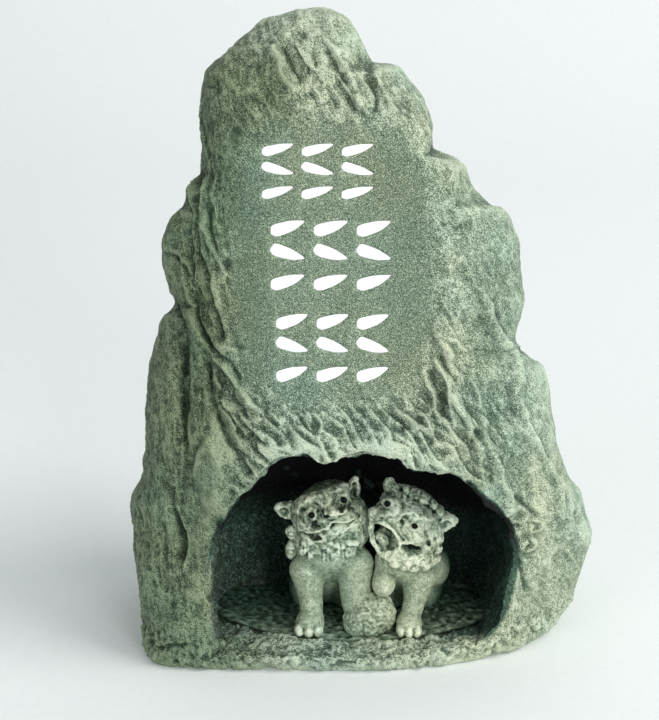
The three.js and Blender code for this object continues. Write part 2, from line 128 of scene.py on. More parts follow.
class Noise:
    """Smooth random bumps that come out the same on every run."""

    SIZE = 32

    def __init__(self, seed: int) -> None:
        """Fill the lattice.

        Args:
            seed: Another seed gives another pattern.
        """
        draw = np.random.default_rng(seed)
        self.lattice = draw.uniform(-1.0, 1.0, (self.SIZE,) * 3)
        self.jitter = draw.uniform(0.0, 1.0, (self.SIZE, self.SIZE, self.SIZE, 3))
        self.turn, _ = np.linalg.qr(draw.normal(size=(3, 3)))

    def value(self, points: Array) -> Array:
        """Look the bumps up at points whose unit is one bump.

        Args:
            points: Rows of x, y, z.

        Returns:
            A value from -1 to 1 for each row.
        """
        cell = np.floor(points).astype(int)
        share = points - cell
        share = share * share * (3.0 - 2.0 * share)
        total = np.zeros(len(points))
        for corner in np.ndindex(2, 2, 2):
            index = (cell + corner) % self.SIZE
            weight = np.prod(np.where(corner, share, 1.0 - share), axis=1)
            total += weight * self.lattice[index[:, 0], index[:, 1], index[:, 2]]
        return total

    def layered(self, points: Array, size: float, octaves: int, fade: float = 0.55) -> Array:
        """Add up bumps that get finer and lower.

        Args:
            points: Rows of x, y, z in millimetres.
            size: The broadest bump's size.
            octaves: How many layers, each half as wide as the last.
            fade: How high each layer is against the last.

        Returns:
            A value for each row, mostly between -1 and 1.
        """
        total = np.zeros(len(points))
        height = 1.0
        turned = points / size
        for _ in range(octaves):
            total += height * self.value(turned)
            turned = turned @ self.turn * 2.03 + 5.7
            height *= fade
        return total

    def cells(self, points: Array) -> tuple[Array, Array, Array]:
        """Find the nearest of randomly placed cell centres.

        Args:
            points: Rows of x, y, z whose unit is one cell.

        Returns:
            The distances to the nearest and second nearest centres, and the nearest cell's own value.
        """
        base = np.floor(points).astype(int)
        first = np.full(len(points), 9.0)
        second = first.copy()
        own = np.zeros(len(points))
        for corner in np.ndindex(3, 3, 3):
            cell = base + corner - 1
            index = cell % self.SIZE
            centre = cell + self.jitter[index[:, 0], index[:, 1], index[:, 2]]
            distance = np.linalg.norm(points - centre, axis=1)
            nearer = distance < first
            second = np.where(nearer, first, np.minimum(second, distance))
            own = np.where(nearer, self.lattice[index[:, 0], index[:, 1], index[:, 2]], own)
            first = np.minimum(first, distance)
        return first, second, own


@dataclass(frozen=True)
class Stroke:
    """A ridge along a path of (x, z) points, or a crease where its height is below zero."""

    path: tuple[Flat, ...]
    width: float
    height: float

    def lift(self, x: Array, z: Array) -> Array:
        """Give the height that the stroke adds.

        Args:
            x: Places across the front.
            z: Their heights above the ground.

        Returns:
            The added height at each place.
        """
        distance = path_distance(x, z, self.path)
        return self.height * np.exp(-((distance / self.width) ** 1.4))


def path_distance(x: Array, z: Array, path: tuple[Flat, ...]) -> Array:
    """Measure how far places on the front are from a path.

    Args:
        x: Places across the front.
        z: Their heights.
        path: The path's corners.

    Returns:
        The distance of each place to the path.
    """
    nearest = np.full(np.broadcast(x, z).shape, 1e9)
    for (ax, az), (bx, bz) in zip(path, path[1:] or path):
        reach = max((bx - ax) ** 2 + (bz - az) ** 2, 1e-9)
        t = np.clip(((x - ax) * (bx - ax) + (z - az) * (bz - az)) / reach, 0.0, 1.0)
        nearest = np.minimum(nearest, np.hypot(x - mix(ax, bx, t), z - mix(az, bz, t)))
    return nearest


def curl(x: float, z: float, radius: float, width: float, height: float, start: float = 200.0) -> Stroke:
    """Draw a curl that winds in towards its middle.

    Args:
        x: Its middle.
        z: Its middle.
        radius: How far out it starts.
        width: The half width of its line.
        height: How far it stands out.
        start: Where it starts, in degrees.

    Returns:
        The stroke.
    """
    turns = [(math.radians(start - 33.0 * i), radius * (1.0 - 0.055 * i)) for i in range(11)]
    return Stroke(tuple((x + r * math.cos(a), z + 0.85 * r * math.sin(a)) for a, r in turns), width, height)


# Meshes


def mesh_object(name: str, points: Array, faces: list, smooth_faces: bool = True) -> bpy.types.Object:
    """Make an object whose mesh is given in millimetres.

    Args:
        name: The object's name.
        points: Rows of x, y, z.
        faces: Corner numbers for each face.
        smooth_faces: Whether the faces are shaded smooth.

    Returns:
        The new object, linked to the scene.
    """
    mesh = bpy.data.meshes.new(name)
    mesh.from_pydata((np.asarray(points) * MM).tolist(), [], faces)
    mesh.validate()
    mesh.polygons.foreach_set("use_smooth", [smooth_faces] * len(mesh.polygons))
    made = bpy.data.objects.new(name, mesh)
    bpy.context.scene.collection.objects.link(made)
    return made


def mesh_points(made: bpy.types.Object) -> Array:
    """Read an object's points in millimetres."""
    flat = np.empty(len(made.data.vertices) * 3)
    made.data.vertices.foreach_get("co", flat)
    return flat.reshape(-1, 3) / MM


def mesh_normals(made: bpy.types.Object) -> Array:
    """Read the direction in which each point of an object faces."""
    flat = np.empty(len(made.data.vertices) * 3)
    made.data.vertex_normals.foreach_get("vector", flat)
    return flat.reshape(-1, 3)


def move_points(made: bpy.types.Object, points: Array) -> None:
    """Write an object's points, given in millimetres."""
    made.data.vertices.foreach_set("co", (points * MM).ravel())
    made.data.update()


def baked(made: bpy.types.Object) -> None:
    """Turn an object's modifiers into its mesh, and take them off it."""
    graph = bpy.context.evaluated_depsgraph_get()
    mesh = bpy.data.meshes.new_from_object(made.evaluated_get(graph))
    made.modifiers.clear()
    old = made.data
    made.data = mesh
    mesh.name = made.name
    bpy.data.meshes.remove(old)


def carved(made: bpy.types.Object, cutter: bpy.types.Object) -> None:
    """Cut one closed object out of another, and delete the cutter."""
    cut = made.modifiers.new("cut", "BOOLEAN")
    cut.operation = "DIFFERENCE"
    cut.solver = "MANIFOLD"
    cut.object = cutter
    baked(made)
    bpy.data.objects.remove(cutter)


def thinned(made: bpy.types.Object, triangles: int) -> None:
    """Drop triangles where the surface is plain, down to a number."""
    made.data.calc_loop_triangles()
    count = len(made.data.loop_triangles)
    if count > triangles:
        fewer = made.modifiers.new("thin", "DECIMATE")
        fewer.ratio = triangles / count
        baked(made)


def relief_of(made: bpy.types.Object, rounds: int, depth: float) -> Array:
    """Measure how far each point stands out of the surface around it.

    Args:
        made: The object.
        rounds: How many times the surface is evened out to get what the point is set against.
        depth: The height that counts as 1, in millimetres.

    Returns:
        A value for each point, from -1 in a pit to 1 on a peak.
    """
    points = mesh_points(made)
    edges = np.empty(len(made.data.edges) * 2, dtype=np.int64)
    made.data.edges.foreach_get("vertices", edges)
    first, second = edges.reshape(-1, 2).T
    count = len(points)
    near = np.bincount(first, minlength=count) + np.bincount(second, minlength=count)
    near = np.maximum(near, 1)[:, None]
    even = points.copy()
    for _ in range(rounds):
        total = np.stack([
            np.bincount(first, even[second, axis], count) + np.bincount(second, even[first, axis], count)
            for axis in range(3)
        ], axis=1)
        even = 0.4 * even + 0.6 * total / near
    height = np.einsum("ij,ij->i", points - even, mesh_normals(made))
    return np.clip(height / depth, -1.0, 1.0)


def add_share(made: bpy.types.Object, name: str, values: Array) -> None:
    """Store a number for each point, for the material to read."""
    layer = made.data.attributes.new(name, "FLOAT", "POINT")
    layer.data.foreach_set("value", np.asarray(values, dtype=np.float32))


# Finishes


def linear(red: int, green: int, blue: int) -> tuple[float, float, float, float]:
    """Turn a colour as seen, from 0 to 255, into light values."""
    channels = [value / 255.0 for value in (red, green, blue)]
    light = [c / 12.92 if c <= 0.04045 else ((c + 0.055) / 1.055) ** 2.4 for c in channels]
    return light[0], light[1], light[2], 1.0


class Tree:
    """A short way to write a shader or geometry tree."""

    def __init__(self, tree: bpy.types.NodeTree) -> None:
        """Keep the tree that nodes are added to."""
        self.tree = tree

    def add(self, kind: str, inputs: dict | None = None, **settings: object) -> bpy.types.Node:
        """Add a node.

        Args:
            kind: The node's type name in Blender.
            inputs: Values or sockets to link, by input name or number.
            settings: The node's own settings.

        Returns:
            The new node.
        """
        node = self.tree.nodes.new(kind)
        for name, value in settings.items():
            setattr(node, name, value)
        for name, value in (inputs or {}).items():
            if isinstance(value, bpy.types.NodeSocket):
                self.tree.links.new(value, node.inputs[name])
            else:
                node.inputs[name].default_value = value
        return node

    def number(self, operation: str, *values: object) -> bpy.types.NodeSocket:
        """Work out a number from values or sockets."""
        node = self.add("ShaderNodeMath", dict(enumerate(values)), operation=operation)
        return node.outputs[0]

    def blend(self, share: object, first: object, second: object, how: str = "MIX") -> bpy.types.NodeSocket:
        """Mix two colours.

        Args:
            share: How much of the second colour.
            first: The first colour or socket.
            second: The second colour or socket.
            how: The way of mixing.

        Returns:
            The mixed colour's socket.
        """
        node = self.add("ShaderNodeMix", data_type="RGBA", blend_type=how)
        for socket, value in ((node.inputs[0], share), (node.inputs[6], first), (node.inputs[7], second)):
            if isinstance(value, bpy.types.NodeSocket):
                self.tree.links.new(value, socket)
            else:
                socket.default_value = value
        return node.outputs[2]

    def ramp(self, share: bpy.types.NodeSocket, *stops: tuple[float, tuple]) -> bpy.types.NodeSocket:
        """Look a share up in a row of colours.

        Args:
            share: The socket to look up.
            stops: Pairs of a position and a colour.

        Returns:
            The colour's socket.
        """
        node = self.add("ShaderNodeValToRGB", {0: share})
        row = node.color_ramp.elements
        while len(row) < len(stops):
            row.new(0.5)
        for element, (position, colour) in zip(row, stops):
            element.position = position
            element.color = colour
        return node.outputs[0]


@dataclass(frozen=True)
class StoneFinish:
    """Cast stone powder: a fine light and dark grain, with painted highlight on what stands out and painted shade in
    its pits, partly a darker colour in the hollows.
    """

    name: str
    pit: tuple
    middle: tuple
    peak: tuple
    shade: tuple
    grain: float
    contrast: float
    mottling: float
    hollow_wash_and_shade: float
    roughness: float
    bump: float
    wrinkles: float

    def lines(self, tree: Tree, place: bpy.types.NodeSocket, period: float, lean: float) -> bpy.types.NodeSocket:
        """Give thin broken crests that wander over the stone.

        Args:
            tree: The material's tree.
            place: The place on the stone.
            period: The distance from crest to crest, in millimetres.
            lean: How far the crests lean from upright, in degrees.

        Returns:
            A height from 0 to 1.
        """
        turned = tree.add("ShaderNodeMapping", {
            "Vector": place, "Rotation": (0.0, math.radians(lean), 0.0), "Scale": (1.0, 1.0, 2.2)},
            vector_type="TEXTURE").outputs[0]
        wave = tree.add("ShaderNodeTexNoise", {
            "Vector": turned, "Scale": 1.0 / (period * MM), "Detail": 2.5, "Roughness": 0.6}).outputs["Fac"]
        away = tree.number("ABSOLUTE", tree.number("SUBTRACT", wave, 0.5))
        crest = tree.add("ShaderNodeMath", {0: away, 1: -18.0, 2: 1.0}, operation="MULTIPLY_ADD", use_clamp=True)
        return crest.outputs[0]

    def made(self) -> bpy.types.Material:
        """Build the material.

        Returns:
            The finished material.
        """
        material = bpy.data.materials.new(self.name)
        material.use_nodes = True
        tree = Tree(material.node_tree)
        shader = material.node_tree.nodes["Principled BSDF"]
        place = tree.add("ShaderNodeTexCoord").outputs["Object"]
        grain_scale = 1.0 / (self.grain * MM)
        speckle = tree.add("ShaderNodeTexNoise", {
            "Vector": place, "Scale": grain_scale, "Detail": 3.0, "Roughness": 0.7}).outputs["Fac"]
        mottle = tree.add("ShaderNodeTexNoise", {
            "Vector": place, "Scale": grain_scale / 4.5, "Detail": 3.0, "Roughness": 0.6}).outputs["Fac"]
        cloud = tree.add("ShaderNodeTexNoise", {
            "Vector": place, "Scale": 38.0, "Detail": 2.0, "Roughness": 0.5}).outputs["Fac"]
        relief = tree.add("ShaderNodeAttribute", attribute_name="relief").outputs["Fac"]
        dim = tree.add("ShaderNodeAttribute", attribute_name="dim").outputs["Fac"]
        age = tree.add("ShaderNodeAttribute", attribute_name="age").outputs["Fac"]
        coarse = tree.add("ShaderNodeAttribute", attribute_name="coarse").outputs["Fac"]

        contrast = tree.number("MULTIPLY_ADD", coarse, 0.25 * self.contrast, self.contrast)
        grainy = tree.number("MULTIPLY_ADD", tree.number("SUBTRACT", speckle, 0.5), contrast, 0.5)
        mottled = tree.number("MULTIPLY", tree.number("SUBTRACT", mottle, 0.5), self.mottling)
        # Colour by height of the surface: paler on what stands out and darker in pits and creases, as painted highlight
        # and painted shade together with a darker colour in the hollows; the crest lines add painted highlight along
        # fine ridges.
        raised = tree.number("MULTIPLY", relief, self.hollow_wash_and_shade)
        lined = tree.number("ADD", self.lines(tree, place, 2.6, -32.0), self.lines(tree, place, 1.5, -60.0))
        lined = tree.number("SUBTRACT", lined, 0.32)
        wrinkled = tree.number("MULTIPLY", lined, tree.number("MULTIPLY", coarse, self.wrinkles))
        height = tree.number("ADD", tree.number("ADD", grainy, mottled), raised)
        height = tree.number("ADD", height, wrinkled)
        colour = tree.ramp(height, (0.1, self.pit), (0.5, self.middle), (0.9, self.peak))
        warm = tree.ramp(cloud, (0.35, linear(222, 244, 246)), (0.65, linear(255, 250, 234)))
        colour = tree.blend(0.55, colour, warm, "MULTIPLY")
        # Painted shade: darkens the colour through the teal shade to near black as each point's share rises.
        dark = tree.ramp(dim, (0.0, linear(255, 255, 255)), (0.5, self.shade), (1.0, linear(16, 26, 26)))
        colour = tree.blend(1.0, colour, dark, "MULTIPLY")
        # Painted shade on the rock's left, with a faint tint all over.
        colour = tree.blend(age, colour, linear(170, 182, 164), "MULTIPLY")
        material.node_tree.links.new(colour, shader.inputs["Base Color"])

        fine = tree.number("ADD", speckle, tree.number("MULTIPLY", mottle, 1.4))
        fine = tree.number("ADD", fine, tree.number("MULTIPLY", wrinkled, 5.0))
        strength = tree.number("MULTIPLY_ADD", coarse, self.bump, self.bump)
        bump = tree.add("ShaderNodeBump", {"Height": fine, "Strength": strength, "Distance": 0.2 * MM})
        material.node_tree.links.new(bump.outputs["Normal"], shader.inputs["Normal"])
        rough = tree.number("MULTIPLY_ADD", speckle, -0.25, self.roughness + 0.12)
        material.node_tree.links.new(rough, shader.inputs["Roughness"])
        shader.inputs["Specular IOR Level"].default_value = 0.35
        return material


@dataclass(frozen=True)
class PaintFinish:
    """Brushed paint, or a glossy bead: one colour with a little unevenness."""

    name: str
    colour: tuple
    second: tuple
    roughness: float
    bump: float
    shine: float = 0.5

    def made(self) -> bpy.types.Material:
        """Build the material.

        Returns:
            The finished material.
        """
        material = bpy.data.materials.new(self.name)
        material.use_nodes = True
        tree = Tree(material.node_tree)
        shader = material.node_tree.nodes["Principled BSDF"]
        shader.inputs["Specular IOR Level"].default_value = self.shine
        place = tree.add("ShaderNodeTexCoord").outputs["Object"]
        uneven = tree.add("ShaderNodeTexNoise", {"Vector": place, "Scale": 420.0, "Detail": 4.0}).outputs["Fac"]
        colour = tree.ramp(uneven, (0.35, self.second), (0.6, self.colour))
        material.node_tree.links.new(colour, shader.inputs["Base Color"])
        bump = tree.add("ShaderNodeBump", {"Height": uneven, "Strength": self.bump, "Distance": 0.3 * MM})
        material.node_tree.links.new(bump.outputs["Normal"], shader.inputs["Normal"])
        shader.inputs["Roughness"].default_value = self.roughness
        return material


# The pit and peak colours stand partly for painted shade in pits and painted highlight on ridges; shade is the teal of
# the painted shade.
ROCK_STONE = StoneFinish(
    "cast_rock", pit=linear(40, 56, 44), middle=linear(107, 127, 107), peak=linear(214, 223, 202),
    shade=linear(118, 156, 152), grain=0.29, contrast=2.2, mottling=0.16, hollow_wash_and_shade=0.3, roughness=0.72, bump=0.45,
    wrinkles=0.18)
FIGURE_STONE = StoneFinish(
    "cast_figure", pit=linear(20, 32, 24), middle=linear(136, 152, 128), peak=linear(226, 231, 210),
    shade=linear(118, 156, 152), grain=0.3, contrast=1.2, mottling=0.4, hollow_wash_and_shade=0.5, roughness=0.62, bump=0.25,
    wrinkles=0.0)
WHITE_PAINT = PaintFinish("stroke_white", linear(252, 253, 253), linear(232, 238, 240), 0.55, 0.15)
EYE_BLACK = PaintFinish("pupil_black", linear(3, 4, 4), linear(6, 7, 7), 0.3, 0.0, 0.12)


class Slot(Enum):
    """The record's material slots."""

    ROCK = "rock_stone"
    FIGURE = "figure_stone"
    PAINT = "white_paint"
    EYE = "eye_black"


def hand_over(made: bpy.types.Object, finish: StoneFinish | PaintFinish, slot: Slot, *nodes: str) -> None:
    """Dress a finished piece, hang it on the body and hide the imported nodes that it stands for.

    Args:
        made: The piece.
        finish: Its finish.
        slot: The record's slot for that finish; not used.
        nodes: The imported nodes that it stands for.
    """
    material = bpy.data.materials.get(finish.name) or finish.made()
    made.data.materials.clear()
    made.data.materials.append(material)
    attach(made, BODY)
    if nodes:
        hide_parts(*nodes)
    made.data.calc_loop_triangles()
    LOG.info("%s: %d triangles", made.name, len(made.data.loop_triangles))


# The rock


@dataclass(frozen=True)
class Panel:
    """The smooth leaning panel on the rock's front."""

    x: float = -8.0
    z: float = 111.0
    half_width: float = 29.0
    half_height: float = 39.0
    foot_y: float = -33.0
    foot_z: float = 74.0
    lean: float = 17.0 / 70.0

    def y(self, z: Array) -> Array:
        """Give the panel's place in depth at a height."""
        return self.foot_y + (z - self.foot_z) * self.lean

    def share(self, x: Array, z: Array, start: float = 0.85, end: float = 1.2) -> Array:
        """Say how much of the panel there is at a place.

        Args:
            x: Places across the front.
            z: Their heights.
            start: Where the panel's border starts, as a share of its half size.
            end: Where it ends.

        Returns:
            1 inside the panel, falling to 0 over its border.
        """
        across = np.abs(x - self.x) / self.half_width
        up = np.abs(z - self.z) / self.half_height
        return 1.0 - smooth(start, end, (across**4 + up**4) ** 0.25)

    def frame_at(self, x: float, z: float, sunk: float) -> Matrix:
        """Give a frame that lies on the panel, with its Z axis pointing out of the stone.

        Args:
            x: The frame's place across the front.
            z: Its height.
            sunk: How deep it lies under the surface.

        Returns:
            The frame as a matrix in metres.
        """
        up = Vector((0.0, self.lean, 1.0)).normalized()
        across = Vector((1.0, 0.0, 0.0))
        outward = across.cross(up)
        middle = Vector((x, float(self.y(z)), z)) - outward * sunk
        turn = Matrix((across, up, outward)).transposed().to_4x4()
        return Matrix.Translation(middle * MM) @ turn


DRAPERY = (
    Stroke(((-41.6, 130), (-41.2, 126.5), (-41.7, 123.5), (-41.3, 120), (-40, 116), (-38, 113), (-35.4, 108)), 0.9, 1.1),
    Stroke(((-39.2, 127.4), (-38, 124.6), (-38, 120.5), (-36.1, 115), (-35.3, 112.4)), 0.8, 0.9),
    Stroke(((-42.6, 123), (-42.2, 118.8), (-41.9, 114.7), (-40.5, 110.8), (-38.8, 107.6), (-37.6, 99.6)), 0.8, 1.0),
    Stroke(((-42.9, 130), (-43.3, 123), (-43, 116.5), (-42.4, 110.4), (-40, 106.7), (-38.8, 96.6), (-37.5, 92)), 0.9, -1.7),
    Stroke(((-40, 123.3), (-40.2, 119.3), (-38.8, 115.5), (-36.9, 111.4), (-35.3, 109.3)), 0.7, -1.2),
    Stroke(((-36.9, 117.6), (-35.3, 113.4), (-35, 110.3)), 0.7, -1.0),
    Stroke(((-51.7, 111.8), (-48.2, 111.6), (-45.4, 107.6), (-43.8, 104.4)), 0.8, 0.8),
    Stroke(((-51, 110.6), (-48, 109.8), (-45.6, 105.8)), 0.7, -0.9),
    Stroke(((-47.6, 109.6), (-46.6, 104), (-45, 98.8), (-42.7, 95.9), (-39.3, 90.4), (-37, 89.5), (-33, 88.8)), 0.8, 1.0),
    Stroke(((-45, 96), (-44, 93.4), (-42.3, 90), (-38.2, 85.8), (-35.4, 83.9), (-31.5, 78.5), (-29.9, 76)), 0.8, 1.2),
    Stroke(((-43.4, 97), (-41.6, 91.6), (-38, 87.4), (-34.6, 85.8), (-32.4, 82)), 0.7, -1.1),
    Stroke(((-39, 83), (-38.2, 80), (-35.9, 77.2), (-33.7, 74.3)), 0.8, 0.9),
    Stroke(((-40.4, 84), (-39.8, 79), (-38.6, 75), (-37.4, 72.7), (-36.2, 69.2), (-33.7, 64.8), (-29.8, 57.5)), 0.9, -1.6),
    Stroke(((-49.6, 95.2), (-48.2, 93.6), (-47.2, 89.5), (-47.3, 83.9), (-47.9, 78.6), (-47.2, 63.4)), 1.0, -1.5),
    Stroke(((-33, 90), (-31.6, 89.2)), 0.9, -1.3),
)
JAMB = (
    Stroke(((-51.3, 48.7), (-49.8, 43.3), (-48.4, 39.5), (-47.6, 35.7), (-47.6, 31.4)), 1.1, -1.5),
    Stroke(((-49.6, 44.6), (-47.6, 40.4), (-46, 37.4), (-46.3, 33), (-47, 29)), 0.8, 0.9),
    Stroke(((-42.0, 66.4), (-44.0, 62.4), (-45.4, 57.0), (-45.6, 51.0)), 0.8, -0.9),
    Stroke(((-40.4, 66.0), (-42.6, 61.4), (-43.8, 56.0)), 0.7, 0.6),
    Stroke(((-40.4, 66.0), (-38.4, 62.0), (-36.6, 56.4)), 0.7, 0.5),
    Stroke(((42.8, 29), (43.5, 24.6), (44.5, 20)), 0.7, -1.0),
    Stroke(((-54.5, 5.2), (-51, 7.1), (-47.4, 7.7)), 0.8, -0.9),
)
BROW = (
    Stroke(((-38.7, 80.4), (-34.3, 74.7), (-29.8, 70.3), (-26.3, 67.5)), 0.8, 1.0),
    Stroke(((-32.3, 72.7), (-30.8, 70.6), (-28.8, 68.1), (-27.8, 66.9)), 0.8, -1.1),
    Stroke(((-37.2, 73.6), (-35.2, 70.4), (-31.7, 64.4), (-27.4, 61.1)), 0.8, 1.0),
    Stroke(((-31.3, 78.1), (-29.8, 75.4), (-26.4, 73.1), (-25.4, 70.9), (-21, 69.2)), 0.7, 0.9),
    Stroke(((-22.1, 72.6), (-19.6, 70.9), (-18.1, 68.8), (-16.2, 68)), 0.7, 0.9),
    Stroke(((-14.6, 72.4), (-12, 72.6), (-10.6, 70.2), (-11.4, 67.6)), 0.7, 0.9),
    Stroke(((8.4, 73.5), (13.2, 70.8), (17.6, 68), (18.1, 69.8), (17.1, 72.5)), 0.7, 1.0),
    Stroke(((8.9, 68), (11.3, 66.7), (13.7, 64.7), (15.2, 62.3)), 0.7, 0.9),
    Stroke(((-12.8, 70.3),), 1.8, -1.2),
    Stroke(((-22.2, 68.6), (-20.6, 68)), 1.6, -1.2),
    Stroke(((-28.5, 67.9),), 1.8, -1.1),
    Stroke(((-7.6, 69.8), (-6, 69.2)), 1.4, -1.0),
    Stroke(((10.3, 69.4),), 1.6, -1.0),
)
RIGHT_SIDE = (
    Stroke(((19.5, 92.7), (20.3, 90.8), (21.7, 88.6), (22.8, 86.9)), 0.7, 1.0),
    Stroke(((21.7, 91.7), (23.7, 90.6), (25.3, 88.7), (27, 87.7)), 0.6, 0.7),
    Stroke(((18.5, 86.2), (20.1, 84.1), (22.3, 80.5), (22.6, 78), (23.2, 72.5), (24, 69.9)), 0.8, 1.2),
    Stroke(((15.8, 83.5), (16.6, 81.4), (18.6, 76.7), (18.6, 74.1), (19.7, 71.5), (22.1, 70.1)), 0.8, 1.1),
    Stroke(((27.8, 81), (29.7, 76.7), (31.4, 69.9), (32.5, 65), (36.1, 57), (37.4, 51.6), (39.8, 47)), 0.8, 1.0),
    Stroke(((23.9, 77.3), (25, 74.6), (28.4, 68.8), (31, 61.3), (30.7, 57.9), (31.7, 53)), 0.8, 1.3),
    Stroke(((20.4, 87), (21.6, 84), (24, 81.6)), 0.9, -1.1),
    Stroke(((17.2, 83.2), (18.8, 80), (20.6, 76.6), (21, 72.6)), 1.0, -1.1),
    Stroke(((25.4, 79), (26.6, 75.6), (29.2, 71.6), (30.4, 67.4)), 0.9, -1.0),
    Stroke(((32.2, 62.4), (33.6, 58), (34.2, 53)), 0.9, -0.9),
    Stroke(((30.4, 103), (32.5, 99.2), (34, 95), (36.5, 90.4), (39.8, 85.1), (41.2, 78.9)), 1.2, 1.1),
    Stroke(((34.2, 100), (35.9, 94.5), (37.8, 89.2), (40.2, 85.4)), 0.7, -1.0),
    Stroke(((41.3, 73.8), (42.6, 70.3), (44.9, 65.3), (47.6, 58.1), (52.8, 48.1), (53.7, 44.4), (53.8, 38)), 0.9, 1.1),
    Stroke(((43.9, 69.1), (46.6, 63.8), (49.2, 57.3), (51.8, 52.4), (54.4, 47.1)), 0.7, -1.0),
    curl(41.3, 41.8, 3.4, 0.65, 1.5, 150.0),
    curl(45.8, 37.7, 2.6, 0.55, 1.5, 95.0),
    curl(44.3, 32.8, 2.3, 0.55, 1.4, 60.0),
    Stroke(((39.6, 41.2), (41.2, 40.0)), 1.3, -1.1),
    Stroke(((45.0, 36.4), (46.2, 35.8)), 1.0, -0.9),
    Stroke(((43.8, 31.8),), 1.0, -0.8),
    Stroke(((40.6, 47.6), (42, 46.4), (43.8, 44.3)), 0.6, -1.0),
    Stroke(((44.3, 43.3), (45.7, 42), (46.7, 41.3)), 0.6, -1.0),
)
DOME = (
    Stroke(((-14.6, 170.6), (-19, 167.6), (-24, 163)), 1.2, 0.8),
    Stroke(((-19, 165.2), (-16.8, 163.3), (-15.3, 161.3), (-14.3, 158.7), (-13.8, 156.6)), 0.9, 1.2),
    Stroke(((-20.6, 164), (-18.4, 160.6), (-16.2, 157)), 1.1, -1.3),
    Stroke(((-23.5, 163.4), (-22, 161), (-21.5, 158.5), (-20, 156.3), (-18.1, 154.5)), 0.9, 0.9),
    Stroke(((-12.5, 167.1), (-9.6, 164.9), (-5.3, 159.7), (-3.8, 156.7), (-2.4, 153.7), (0.5, 148.4)), 0.9, 1.0),
    Stroke(((-9.3, 162.8), (-7.6, 160.6), (-6.2, 157.6), (-5.2, 155.9)), 0.8, -1.1),
    Stroke(((-8.6, 158.6), (-6.2, 156.3), (-4.3, 153.7), (-2.3, 152), (-1.4, 150.1)), 0.7, 0.9),
    Stroke(((-13.3, 163), (-12.6, 160.6)), 1.2, -1.0),
    Stroke(((-13.8, 153.4), (-12, 150.4)), 1.2, -0.8),
    Stroke(((-9, 153.4), (-7.4, 150)), 1.2, -1.0),
    Stroke(((-4, 152.2), (-2.4, 149.6)), 1.2, -1.0),
    Stroke(((1.4, 158.2), (1, 156.7), (2.4, 154.2), (3.4, 152.1), (2.9, 149.2)), 0.8, -1.1),
    Stroke(((2.9, 156.6), (4.4, 153.7), (5.8, 151.2), (7.7, 148.6)), 0.8, 0.8),
)
FRONT_STROKES = DRAPERY + JAMB + BROW + RIGHT_SIDE + DOME


